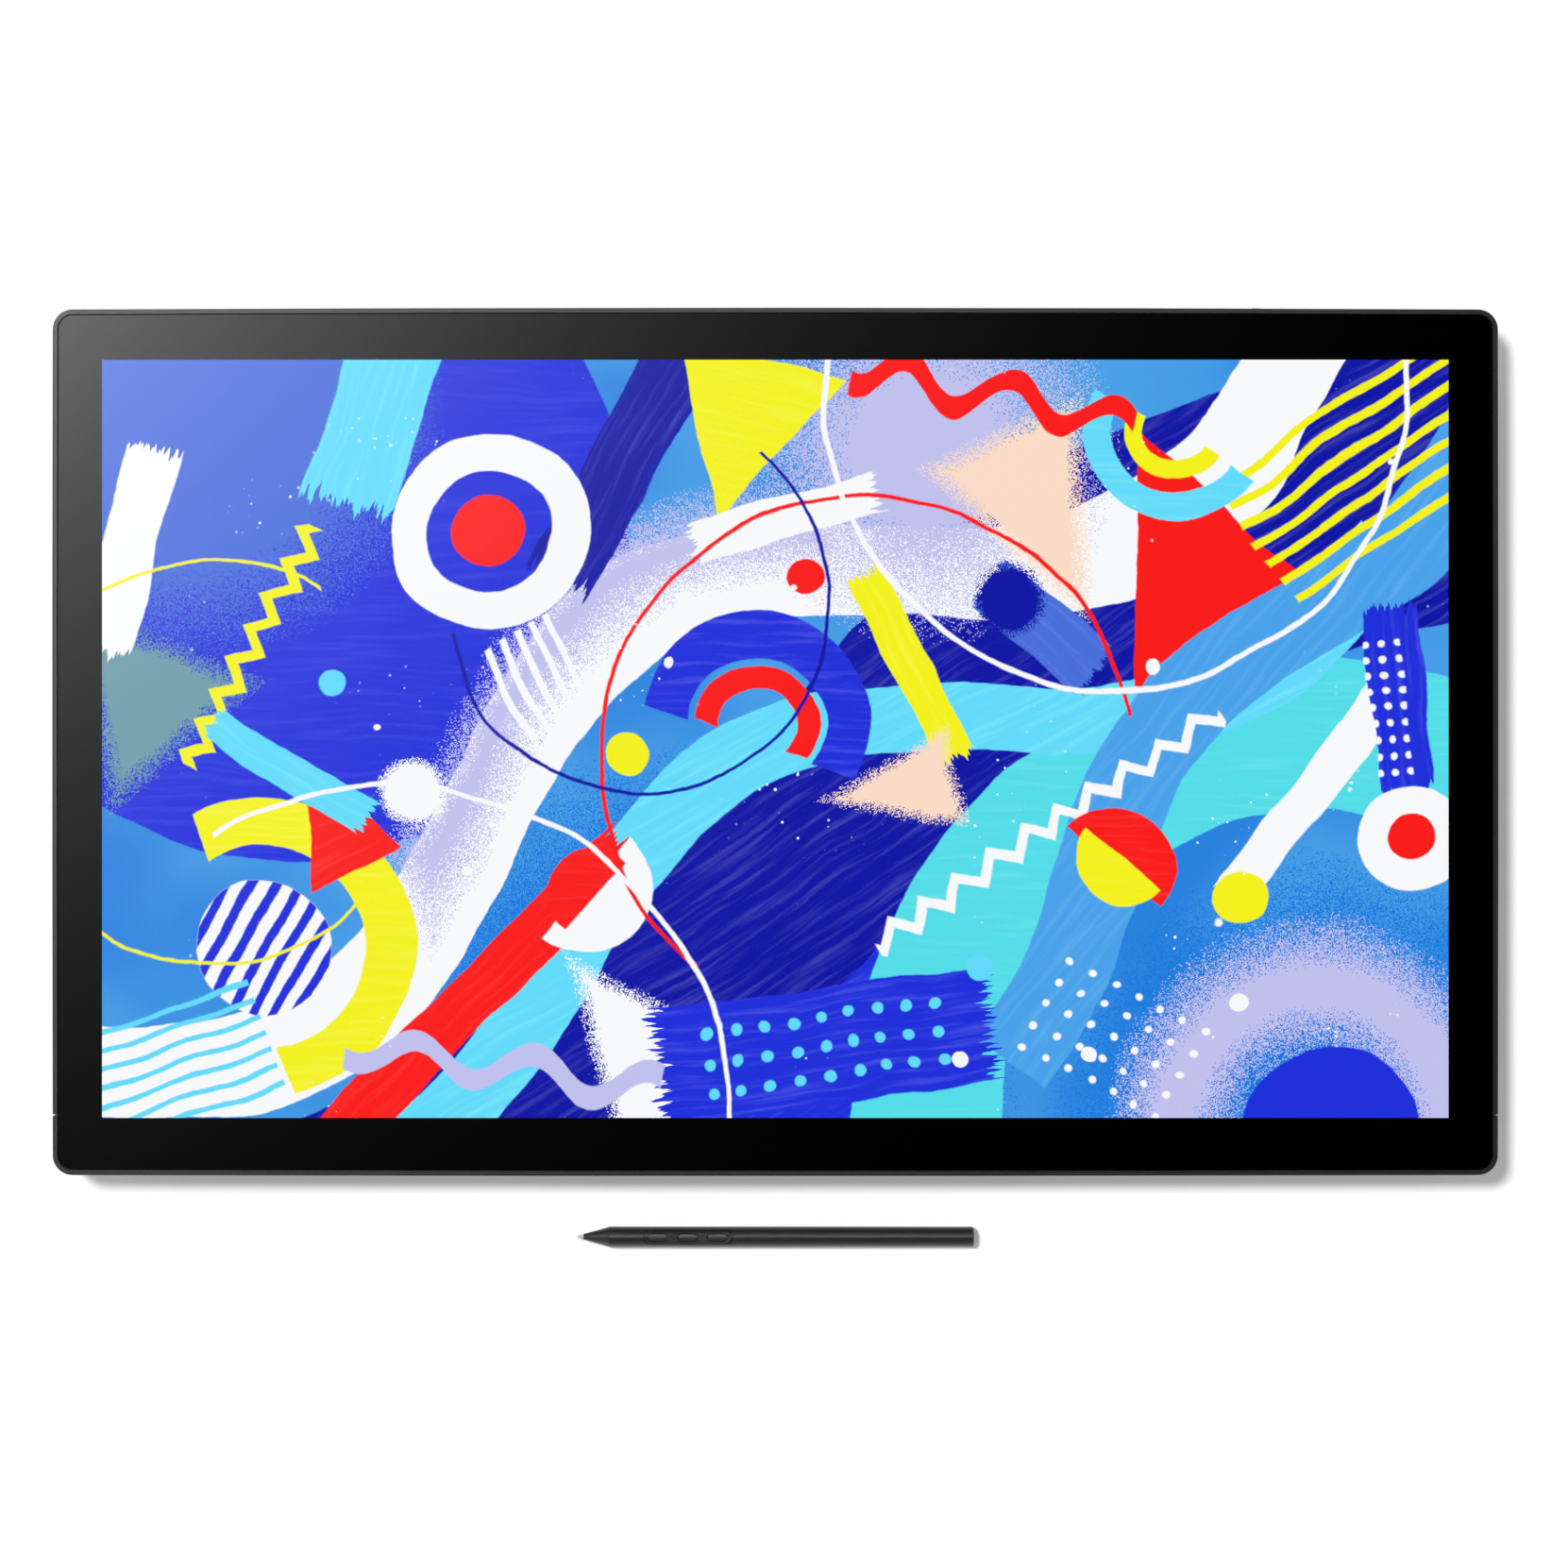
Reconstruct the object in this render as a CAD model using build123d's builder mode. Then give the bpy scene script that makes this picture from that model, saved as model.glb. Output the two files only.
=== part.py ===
from build123d import *
import math
import os

# A large pen display with a 16:9 screen, lying on its back on a desk, with its pen in front of it.
# +X is right and +Y is up as the screen is read, and +Z points out of the screen.
# The origin is the centre of the arm-mount holes, on the flat of the back. Lengths are millimetres.

# Screen, and the border from its edges to the outside of the body
screen_width = 596.0
screen_height = 335.3
bezel_side = 21.65
bezel_top = 22.95
bezel_bottom = 25.65
corner_radius = 8.8
bow_top = 0.8
bow_bottom = 0.45
bow_side = 0.25
overrun = 1.0

# Cover glass and its black printed border
glass_thickness = 1.1
glass_edge = 0.2
glass_gap = 0.35
mask_thickness = 0.16
mask_gap = 0.02

# Frame round the glass
rim_width = 2.1
rim_edge = 0.45
ledge_thickness = 2.0
frame_gap = 0.3
frame_split = 27.0
notch_depth = 0.8
notch_width = 0.8
boss_radius = 3.0

# Panel stack, from the glass down
stack_gap = 0.1
lcd_thickness = 1.5
lcd_border = 5.5
films_thickness = 0.9
guide_thickness = 2.7
reflector_thickness = 0.3
tray_floor = 1.1
tray_wall = 1.2
tray_margin = 5.0
bay_clearance = 1.0
side_gap = 0.5
sensor_thickness = 0.9
sensor_margin = 3.0
shield_thickness = 0.6

# Backlight strip along the lower edge
led_strip_thickness = 0.8
led_strip_end = 8.0
led_strip_gap = 0.4
led_depth = 1.4
led_width = 5.0
led_height = 2.0
led_guide_gap = 0.3
led_count = 48

# Chassis plate, rear shell and electronics cover
chassis_thickness = 2.0
chassis_inset = 4.6
shell_floor = 2.2
shell_wall = 4.2
shell_pad = 1.3
shell_edge_rise = 3.5
shell_edge_run = 5.0
shell_lip = 6.0
cover_depth = 14.0
cover_radius = 14.0
cover_wall = 2.2
cover_taper = 6.0
cover_edge = 2.5
foot_height = 1.5
foot_length = 56.0
foot_width = 11.0
foot_inset_x = 60.0
foot_inset_y = 19.0

# Screws
frame_screw_radius = 1.25
frame_screw_head = 2.3
frame_screw_length = 9.0
frame_screw_inset = 10.0
frame_screw_side_inset = 8.8
frame_screw_corner_gap = 43.25
frame_screw_side_gap = 71.5
frame_screws_per_row = 5
cover_screw_radius = 1.5
cover_screw_head = 2.8
cover_screw_head_height = 2.2
cover_screw_sink = 0.6
cover_screw_inset_x = 17.0
cover_screw_inset_y = 12.0
cover_boss_radius = 4.0
board_screw_radius = 1.2
board_screw_head = 2.3
board_screw_head_height = 1.3
board_screw_length = 5.0
screw_clearance = 0.05
head_clearance = 0.3

# Arm mount
arm_pitch = 100.0
arm_hole_radius = 2.0
arm_boss_radius = 4.6
arm_boss_clearance = 0.25
arm_plate_margin = 13.0
arm_plate_thickness = 2.5
arm_plate_gap = 0.1
arm_pillar_radius = 4.5
arm_pillar_inset = 6.0

# Threaded accessory inserts in the two sides
insert_radius = 3.2
insert_hole_radius = 2.1
insert_length = 7.5
insert_sink = 0.4
insert_clearance = 0.02
insert_y = 60.0
insert_block_half = 6.0
insert_block_back = 1.2

# Circuit boards on standoffs under the chassis
board_thickness = 1.6
standoff_height = 4.0
standoff_radius = 3.2
board_corner_inset = 5.0
board_edge_gap = 5.0
board_bottom_gap = 24.0
board_bracket_gap = 12.0
board_gap = 16.0
main_board_width = 140.0
main_board_height = 116.0
power_board_width = 118.0
power_board_height = 92.0
driver_board_height = 24.0
chip_height = 2.2
chip_size = 31.0
small_chip_size = 13.0
small_chip_height = 1.4
coil_size = 13.0
coil_height = 6.0
coil_corner = 1.5
capacitor_radius = 4.0
capacitor_height = 7.0
part_pitch = 26.0

# Cooling: spreader, flat heat pipe, fins and two blowers
thermal_gap = 0.1
spreader_size = 50.0
spreader_thickness = 2.0
pipe_width = 8.0
pipe_thickness = 3.0
pipe_bend = 14.0
pipe_run = 22.0
chip_inset = 31.0
chip_up = 3.0
fin_stack_width = 46.0
fin_stack_depth = 14.0
fin_top_gap = 0.4
fin_thickness = 0.5
fin_pitch = 2.9
fin_count = 16
fin_base = 0.8
fin_wall_gap = 3.0
fan_size = 60.0
fan_height = 11.0
fan_corner = 6.0
fan_pipe_gap = 14.0
fan_board_gap = 29.8
fan_fin_gap = 1.0
fan_plate = 1.2
fan_cavity_radius = 27.5
fan_intake_radius = 18.0
fan_outlet_width = 46.0
bearing_radius = 4.0
bearing_clearance = 0.05
rotor_hub_radius = 11.0
rotor_radius = 24.5
rotor_height = 6.4
rotor_gap = 0.6
rotor_shaft_radius = 1.5
blade_thickness = 0.9
blade_lean = 24.0
blade_count = 13

# Vents
intake_slot_width = 2.2
intake_slot_length = 34.0
intake_slot_pitch = 4.8
intake_slot_count = 9
exhaust_slot_width = 2.4
exhaust_slot_height = 6.0
exhaust_slot_pitch = 5.0
exhaust_slot_count = 26

# Sockets on the two sides of the electronics cover
socket_wall = 0.5
socket_hole_gap = 0.3
socket_tongue = 0.8
socket_tongue_share = 0.7
data_socket_width = 9.0
data_socket_height = 3.3
data_socket_depth = 8.0
data_socket_pitch = 16.0
data_socket_up = 23.0
video_socket_width = 15.0
video_socket_height = 5.6
video_socket_up = 45.0
small_video_socket_width = 10.0
small_video_socket_height = 5.0
small_video_socket_up = 63.0
video_socket_depth = 11.0
power_socket_width = 12.0
power_socket_height = 5.4
power_socket_depth = 11.0
power_socket_up = 15.0
lock_slot_length = 7.0
lock_slot_height = 3.0
lock_slot_up = 41.0

# Shortcut keys on the back of each grip
key_y = 20.0
key_pitch = 25.0
key_count = 4
key_width = 9.0
key_length = 20.0
key_proud = 0.7
key_clearance = 0.2
key_flange = 1.2
key_flange_thickness = 0.8
key_edge = 0.3
key_travel = 0.5
key_switch_radius = 2.6
key_switch_height = 0.6
key_switch_gap = 0.05
key_board_width = 20.0
key_board_end = 14.0
key_board_thickness = 1.0
key_window_margin = 3.0
stake_radius = 1.0
stake_post_radius = 2.4
stake_head = 0.2
stake_clearance = 0.1
stake_end = 5.0

# Power button and touch switch in the top edge
button_screw_gap = 30.0
button_width = 12.0
button_height = 3.6
button_proud = 0.4
button_clearance = 0.2
button_flange = 1.4
button_flange_thickness = 1.0
button_wall_gap = 0.3
button_travel = 0.4
touch_button_gap = 32.0
touch_knob_width = 7.0
touch_travel = 3.0
touch_ridge = 0.5
switch_gap = 0.2
switch_body_width = 6.0
switch_body_height = 3.4
switch_body_depth = 2.8
switch_board_thickness = 1.2
switch_board_end = 9.0
switch_board_gap = 0.1

# Flat cables from the panel to its driver board
ribbon_width = 36.0
ribbon_thickness = 0.2
ribbon_pitch = 70.0
ribbon_bend = 0.6
ribbon_slot_end = 2.0
ribbon_drop = 3.0
ribbon_plug_depth = 4.0
ribbon_plug_height = 1.6

# Pen, measured from the tip of its nib
pen_length = 177.5
pen_radius = 4.55
pen_tail_radius = 4.5
pen_y = -221.1
nib_radius = 0.75
nib_point = 0.9
nib_length = 16.0
nib_clearance = 0.1
nib_travel = 0.4
cone_start = 2.9
cone_tip_radius = 1.28
cone_seam = 13.1
cone_seam_radius = 4.07
cone_shoulder = 14.6
cone_bore_radius = 2.6
cone_bore_start = 9.6
grip_end = 108.9
pen_bore_radius = 3.5
pen_spigot = 8.0
pen_spigot_clearance = 0.05
pen_tail_wall = 0.9
pen_cap_length = 3.2
pen_cap_edge = 0.6
plate_start = 30.1
plate_length = 38.9
plate_width = 5.9
plate_thickness = 1.35
plate_clearance = 0.25
plate_notch = 0.85
plate_floor = 0.5
plate_fall = 0.7
switch_length = 8.4
switch_width = 3.3
switch_proud = 0.35
switch_clearance = 0.35
switch_first = 32.0
switch_pitch = 13.3
switch_count = 3
switch_stem = 2.2
switch_stem_flange = 0.4
switch_flange_length = 0.8
switch_travel = 0.3
tact_size = 2.6
tact_top = 1.85
coil_radius = 2.3
coil_gap = 0.15
coil_start = 9.9
coil_length = 5.6
sensor_radius = 3.4
sensor_start = 16.5
sensor_length = 10.0
pen_board_start = 28.0
pen_board_length = 56.0
pen_board_width = 5.4
pen_board_thickness = 0.8
pen_board_height = 0.2

# Heights, from the flat of the back towards the front
chassis_bottom = cover_depth + shell_floor + shell_pad
frame_bottom = chassis_bottom + chassis_thickness
shield_bottom = frame_bottom + stack_gap
sensor_bottom = shield_bottom + shield_thickness + stack_gap
tray_bottom = sensor_bottom + sensor_thickness + stack_gap
reflector_bottom = tray_bottom + tray_floor + stack_gap
guide_bottom = reflector_bottom + reflector_thickness + stack_gap
films_bottom = guide_bottom + guide_thickness + stack_gap
tray_top = films_bottom + films_thickness
lcd_bottom = tray_top + stack_gap
ledge_top = lcd_bottom + lcd_thickness
ledge_bottom = ledge_top - ledge_thickness
mask_bottom = ledge_top + mask_gap
glass_bottom = mask_bottom + mask_thickness + mask_gap
front = glass_bottom + glass_thickness

# Plan sizes that follow the screen
body_width = screen_width + 2 * bezel_side
body_height = screen_height + bezel_top + bezel_bottom
screen_y = (bezel_bottom - bezel_top) / 2
split_y = frame_split - body_height / 2
tray_inner_width = screen_width + 2 * tray_margin
tray_inner_height = screen_height + 2 * tray_margin + led_depth + led_strip_thickness
tray_width = tray_inner_width + 2 * tray_wall
tray_height = tray_inner_height + 2 * tray_wall
bay_width = tray_width + 2 * bay_clearance
bay_height = tray_height + 2 * bay_clearance
tray_floor_y = screen_y - tray_inner_height / 2
led_space = led_strip_gap + led_strip_thickness + led_depth + led_guide_gap
guide_width = tray_inner_width - 2 * side_gap
guide_height = tray_inner_height - led_space - side_gap
guide_y = tray_floor_y + led_space + guide_height / 2

# The electronics cover is as large as the bracket, boards, fans and fins inside it need
arm_plate_size = arm_pitch + 2 * arm_plate_margin
board_inner_x = arm_plate_size / 2 + board_bracket_gap
cover_width = 2 * (board_inner_x + main_board_width + board_edge_gap)
cooling_height = fan_size + fan_fin_gap + fin_stack_depth + fin_wall_gap + cover_wall
cover_height = board_bottom_gap + main_board_height + fan_board_gap + cooling_height
foot_x = cover_width / 2 - foot_inset_x
foot_y = cover_height / 2 - foot_inset_y

# Fastener places
frame_screw_steps = frame_screws_per_row // 2
frame_screw_end = body_width / 2 - frame_screw_corner_gap
frame_screw_row = [
    (step * frame_screw_end / frame_screw_steps, side * (body_height / 2 - frame_screw_inset))
    for side in (-1, 1)
    for step in range(-frame_screw_steps, frame_screw_steps + 1)
]
frame_screw_sides = [
    (side * (body_width / 2 - frame_screw_side_inset), end * (body_height / 2 - frame_screw_side_gap))
    for side in (-1, 1)
    for end in (-1, 1)
]
frame_screw_places = frame_screw_row + frame_screw_sides
cover_screw_x = cover_width / 2 - cover_screw_inset_x
cover_screw_y = cover_height / 2 - cover_screw_inset_y
cover_screw_places = [
    (i * cover_screw_x, j * cover_screw_y) for i in (-1, 0, 1) for j in (-1, 1)
]

# Board places
board_top = chassis_bottom - standoff_height
board_bottom = board_top - board_thickness
board_floor_y = board_bottom_gap - cover_height / 2
main_board_x = -board_inner_x - main_board_width / 2
main_board_y = board_floor_y + main_board_height / 2
power_board_x = cover_width / 2 - board_edge_gap - power_board_width / 2
power_board_y = board_floor_y + power_board_height / 2
power_board_edge = power_board_x - power_board_width / 2
driver_board_width = power_board_edge + board_inner_x - 2 * board_gap
driver_board_x = (power_board_edge - board_inner_x) / 2
driver_board_y = board_floor_y + driver_board_height / 2
boards = (
    (main_board_x, main_board_y, main_board_width, main_board_height),
    (power_board_x, power_board_y, power_board_width, power_board_height),
    (driver_board_x, driver_board_y, driver_board_width, driver_board_height),
)


def corner_places(x, y, width, height):
    """The four screw places near the corners of a board."""
    half_x = width / 2 - board_corner_inset
    half_y = height / 2 - board_corner_inset
    return [(x + i * half_x, y + j * half_y) for i in (-1, 1) for j in (-1, 1)]


board_screw_places = [place for board in boards for place in corner_places(*board)]

# Sockets on the left side: place along Y, width, height and depth
data_socket_y = board_floor_y + data_socket_up
video_socket_y = board_floor_y + video_socket_up
small_video_socket_y = board_floor_y + small_video_socket_up
power_socket_y = board_floor_y + power_socket_up
lock_slot_y = board_floor_y + lock_slot_up
signal_socket_sizes = (
    (data_socket_y - data_socket_pitch / 2, data_socket_width, data_socket_height, data_socket_depth),
    (data_socket_y + data_socket_pitch / 2, data_socket_width, data_socket_height, data_socket_depth),
    (video_socket_y, video_socket_width, video_socket_height, video_socket_depth),
    (small_video_socket_y, small_video_socket_width, small_video_socket_height, video_socket_depth),
)

# Cooling places
chip_x = -board_inner_x - chip_inset
chip_y = main_board_y + chip_up
fan_x = fan_size / 2 + fan_pipe_gap - chip_x
spreader_top = board_bottom - chip_height - thermal_gap
pipe_top = spreader_top - spreader_thickness - thermal_gap
fin_height = cover_depth - fin_top_gap - pipe_top - thermal_gap - fin_base
fin_y = cover_height / 2 - cover_wall - fin_wall_gap - fin_stack_depth / 2
fan_y = fin_y - fin_stack_depth / 2 - fan_fin_gap - fan_size / 2
fan_bottom = chassis_bottom - fan_height
rotor_bottom = fan_bottom + fan_plate + rotor_gap
shaft_length = fan_height - fan_plate - rotor_gap - rotor_height - fan_plate - bearing_clearance

vent_z = (cover_wall + cover_depth) / 2

# Key places
key_x = (cover_width + body_width) / 4
key_places = [key_y + (key_count / 2 - 0.5 - row) * key_pitch for row in range(key_count)]
key_flange_top = cover_depth + shell_floor + key_flange_thickness
key_switch_bottom = key_flange_top + key_travel + key_switch_gap
key_board_bottom = key_switch_bottom + key_switch_height
key_board_length = key_pitch * (key_count - 1) + key_length + 2 * key_board_end
stake_y = key_board_length / 2 - stake_end

# Middle of the frame's walls, where the inserts and the top edge controls sit
button_z = (frame_bottom + ledge_bottom) / 2
insert_inner_x = body_width / 2 - bow_side - insert_sink - insert_length
button_x = frame_screw_end - button_screw_gap
touch_x = button_x - touch_button_gap


def top_edge(x):
    """The outer face of the bowed top edge at x."""
    return body_height / 2 - bow_top * (2 * x / body_width) ** 2


# Pen places, with the pen's axis along +X
pen_tip_x = -pen_length / 2
pen_z = pen_radius - foot_height
pen_axis = Axis((pen_tip_x, pen_y, pen_z), (1, 0, 0))
pen_side = Plane(origin=(pen_tip_x, pen_y, pen_z), x_dir=(1, 0, 0), z_dir=(0, -1, 0))
pen_plan = Plane(origin=(pen_tip_x, pen_y, pen_z), x_dir=(1, 0, 0), z_dir=(0, 0, 1))
switch_places = [switch_first + switch_length / 2 + i * switch_pitch for i in range(switch_count)]
plate_middle = plate_start + plate_length / 2


def body_block(bottom, thickness, inset, mode=Mode.ADD):
    """A flat slab with the bowed outline of the display, drawn in by inset from the outer edge."""
    half_width = body_width / 2 - inset
    half_height = body_height / 2 - inset
    left_top = (bow_side - half_width, half_height - bow_top)
    right_top = (half_width - bow_side, half_height - bow_top)
    left_bottom = (bow_side - half_width, bow_bottom - half_height)
    right_bottom = (half_width - bow_side, bow_bottom - half_height)
    with BuildSketch(Plane.XY.offset(bottom)) as outline:
        with BuildLine():
            ThreePointArc(left_bottom, (0, -half_height), right_bottom)
            ThreePointArc(right_bottom, (half_width, 0), right_top)
            ThreePointArc(right_top, (0, half_height), left_top)
            ThreePointArc(left_top, (-half_width, 0), left_bottom)
        make_face()
        fillet(outline.vertices(), radius=corner_radius - inset)
    extrude(outline.sketch, amount=thickness, mode=mode)


def plate(width, height, bottom, thickness, x=0.0, y=0.0, corner=0.0, mode=Mode.ADD):
    """A flat plate centred on x, y, with rounded corners if corner is given."""
    with BuildSketch(Plane.XY.offset(bottom)) as outline:
        with Locations((x, y)):
            if corner:
                RectangleRounded(width, height, corner)
            else:
                Rectangle(width, height)
    extrude(outline.sketch, amount=thickness, mode=mode)


def blocks(places, width, height, bottom, thickness, mode=Mode.ADD):
    """Upright square-cornered blocks of one size at every place."""
    with BuildSketch(Plane.XY.offset(bottom)) as outline:
        with Locations(*places):
            Rectangle(width, height)
    extrude(outline.sketch, amount=thickness, mode=mode)


def rounds(places, radius, bottom, height, mode=Mode.ADD):
    """Upright cylinders of one radius at every place."""
    with BuildSketch(Plane.XY.offset(bottom)) as outline:
        with Locations(*places):
            Circle(radius)
    extrude(outline.sketch, amount=height, mode=mode)


def pills(places, length, width, bottom, height, mode=Mode.ADD):
    """Upright round-ended blocks, long in Y, at every place."""
    with BuildSketch(Plane.XY.offset(bottom)) as outline:
        with Locations(*places):
            SlotOverall(length, width, rotation=90)
    extrude(outline.sketch, amount=height, mode=mode)


def side_plane(side, distance, height):
    """A plane facing out of the left (-1) or right (1) side, with its local Y upwards."""
    return Plane((side * distance, 0, height), (0, side, 0), (side, 0, 0))


def edge_plane(x, y):
    """A plane facing out of the top edge, with its centre at x, y."""
    return Plane((x, y, button_z), (-1, 0, 0), (0, 1, 0))


def side_notches(bottom, height):
    """A small notch in each side, where the two halves of the frame meet."""
    edge_x = body_width / 2 - bow_side
    notch_places = [(side * edge_x, split_y) for side in (-1, 1)]
    blocks(notch_places, 2 * notch_depth, notch_width, bottom, height, mode=Mode.SUBTRACT)


# Front: glass, black border and frame
with BuildPart() as cover_glass:
    body_block(glass_bottom, glass_thickness, rim_width + glass_gap)
    chamfer(cover_glass.faces().sort_by(Axis.Z)[-1].edges(), length=glass_edge)

with BuildPart() as border_mask:
    body_block(mask_bottom, mask_thickness, rim_width + glass_gap)
    plate(screen_width, screen_height, mask_bottom, mask_thickness, y=screen_y, mode=Mode.SUBTRACT)

with BuildPart() as frame_ring:
    body_block(frame_bottom, front - frame_bottom, 0)
    fillet(frame_ring.faces().sort_by(Axis.Z)[-1].edges(), radius=rim_edge)
    body_block(ledge_top, front - ledge_top, rim_width, mode=Mode.SUBTRACT)
    body_block(frame_bottom, ledge_bottom - frame_bottom, rim_width, mode=Mode.SUBTRACT)
    plate(bay_width, bay_height, frame_bottom, front - frame_bottom, y=screen_y, mode=Mode.SUBTRACT)
    rounds(frame_screw_places, boss_radius, frame_bottom, ledge_bottom - frame_bottom)
    # Solid blocks behind the rim hold the threaded inserts
    block_inner_x = insert_inner_x - insert_block_back
    block_depth = body_width / 2 - rim_width / 2 - block_inner_x
    block_x = block_inner_x + block_depth / 2
    blocks(
        [(i * block_x, j * insert_y) for i in (-1, 1) for j in (-1, 1)],
        block_depth,
        2 * insert_block_half,
        frame_bottom,
        ledge_bottom - frame_bottom,
    )
    for side in (-1, 1):
        with BuildSketch(side_plane(side, body_width / 2 + overrun, button_z)):
            with Locations((insert_y, 0), (-insert_y, 0)):
                Circle(insert_radius + insert_clearance)
        extrude(amount=insert_inner_x - body_width / 2 - overrun, mode=Mode.SUBTRACT)
    rounds(
        frame_screw_places,
        frame_screw_radius + screw_clearance,
        frame_bottom,
        ledge_bottom - frame_bottom,
        mode=Mode.SUBTRACT,
    )
    # Slots in the top edge for the power button and the touch switch
    with BuildSketch(edge_plane(0, body_height / 2 + overrun)):
        with Locations((-button_x, 0)):
            SlotOverall(button_width + 2 * button_clearance, button_height + 2 * button_clearance)
        with Locations((-touch_x, 0)):
            SlotOverall(
                touch_knob_width + touch_travel + 2 * button_clearance,
                button_height + 2 * button_clearance,
            )
    extrude(amount=-(overrun + bow_top + rim_width + overrun), mode=Mode.SUBTRACT)
    side_notches(frame_bottom, front - frame_bottom)

with BuildPart() as frame_upper:
    add(frame_ring.part)
    split(bisect_by=Plane((0, split_y + frame_gap / 2, 0), z_dir=(0, 1, 0)), keep=Keep.TOP)

with BuildPart() as frame_lower:
    add(frame_ring.part)
    split(bisect_by=Plane((0, split_y - frame_gap / 2, 0), z_dir=(0, 1, 0)), keep=Keep.BOTTOM)

with BuildPart() as accessory_inserts:
    for side in (-1, 1):
        with BuildSketch(side_plane(side, insert_inner_x, button_z)):
            with Locations((insert_y, 0), (-insert_y, 0)):
                Circle(insert_radius)
                Circle(insert_hole_radius, mode=Mode.SUBTRACT)
        extrude(amount=insert_length)

# Panel stack
with BuildPart() as lcd_panel:
    plate(
        screen_width + 2 * lcd_border,
        screen_height + 2 * lcd_border,
        lcd_bottom,
        lcd_thickness,
        y=screen_y,
    )

with BuildPart() as diffuser_films:
    plate(guide_width, guide_height, films_bottom, films_thickness, y=guide_y)

with BuildPart() as light_guide:
    plate(guide_width, guide_height, guide_bottom, guide_thickness, y=guide_y)

with BuildPart() as reflector_sheet:
    plate(guide_width, guide_height, reflector_bottom, reflector_thickness, y=guide_y)

with BuildPart() as led_bar:
    plate(
        tray_inner_width - 2 * led_strip_end,
        led_strip_thickness,
        guide_bottom,
        guide_thickness,
        y=tray_floor_y + led_strip_gap + led_strip_thickness / 2,
    )
    led_pitch = (tray_inner_width - 4 * led_strip_end) / led_count
    led_y = tray_floor_y + led_strip_gap + led_strip_thickness + led_depth / 2
    with Locations((0, led_y, guide_bottom + guide_thickness / 2)):
        with GridLocations(led_pitch, 0, led_count, 1):
            Box(led_width, led_depth, led_height)

with BuildPart() as backlight_tray:
    plate(tray_width, tray_height, tray_bottom, tray_top - tray_bottom, y=screen_y)
    plate(
        tray_inner_width,
        tray_inner_height,
        tray_bottom + tray_floor,
        tray_top - tray_bottom,
        y=screen_y,
        mode=Mode.SUBTRACT,
    )

with BuildPart() as sensor_board:
    plate(
        screen_width + 2 * sensor_margin,
        screen_height + 2 * sensor_margin,
        sensor_bottom,
        sensor_thickness,
        y=screen_y,
    )

with BuildPart() as shield_plate:
    plate(
        screen_width + 2 * sensor_margin,
        screen_height + 2 * sensor_margin,
        shield_bottom,
        shield_thickness,
        y=screen_y,
    )

# Chassis plate with the standoffs that carry the boards
ribbon_y = screen_y - tray_height / 2 - bay_clearance / 2
ribbon_places = [driver_board_x + side * ribbon_pitch / 2 for side in (-1, 1)]
with BuildPart() as chassis_plate:
    body_block(chassis_bottom, chassis_thickness, chassis_inset)
    for side in (-1, 1):
        plate(
            key_board_width + 2 * key_window_margin,
            key_board_length + 2 * key_window_margin,
            chassis_bottom,
            chassis_thickness,
            x=side * key_x,
            y=key_y,
            mode=Mode.SUBTRACT,
        )
    blocks(
        [(x, ribbon_y) for x in ribbon_places],
        ribbon_width + 2 * ribbon_slot_end,
        2 * ribbon_slot_end,
        chassis_bottom,
        chassis_thickness,
        mode=Mode.SUBTRACT,
    )
    rounds(board_screw_places, standoff_radius, board_top, standoff_height)
    rounds(
        board_screw_places,
        board_screw_radius + screw_clearance,
        board_top,
        standoff_height + chassis_thickness,
        mode=Mode.SUBTRACT,
    )
    rounds(
        frame_screw_places,
        frame_screw_radius + screw_clearance,
        chassis_bottom,
        chassis_thickness,
        mode=Mode.SUBTRACT,
    )
    rounds(
        cover_screw_places,
        cover_screw_radius + screw_clearance,
        chassis_bottom,
        chassis_thickness,
        mode=Mode.SUBTRACT,
    )

# Rear shell, with its soft outer edge, key holes and heat-stake posts
floor_top = cover_depth + shell_floor
key_spots = [(side * key_x, y) for side in (-1, 1) for y in key_places]
stake_spots = [(side * key_x, key_y + end * stake_y) for side in (-1, 1) for end in (-1, 1)]
with BuildPart() as rear_shell:
    body_block(cover_depth, frame_bottom - cover_depth, 0)
    shell_base = rear_shell.faces().sort_by(Axis.Z)[0]
    chamfer(shell_base.edges(), length=shell_edge_run, length2=shell_edge_rise, reference=shell_base)
    fillet(rear_shell.faces().sort_by(Axis.Z)[0].edges(), radius=shell_edge_rise / 2)
    body_block(floor_top, frame_bottom - floor_top, shell_wall, mode=Mode.SUBTRACT)
    plate(
        cover_width - 2 * shell_lip,
        cover_height - 2 * shell_lip,
        cover_depth,
        shell_floor,
        corner=cover_radius - shell_lip,
        mode=Mode.SUBTRACT,
    )
    rounds(frame_screw_places, boss_radius, floor_top, shell_pad)
    rounds(stake_spots, stake_post_radius, floor_top, key_board_bottom - floor_top)
    rounds(stake_spots, stake_radius, key_board_bottom, key_board_thickness + stake_head)
    pills(
        key_spots,
        key_length + 2 * key_clearance,
        key_width + 2 * key_clearance,
        cover_depth,
        shell_floor,
        mode=Mode.SUBTRACT,
    )
    with Locations(Plane((0, 0, cover_depth), (1, 0, 0), (0, 0, -1))):
        with Locations(*[(x, -y) for x, y in frame_screw_places]):
            CounterSinkHole(
                frame_screw_radius + screw_clearance,
                frame_screw_head + screw_clearance,
                depth=shell_floor + shell_pad,
                counter_sink_angle=90,
            )
    side_notches(cover_depth, frame_bottom - cover_depth)

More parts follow.
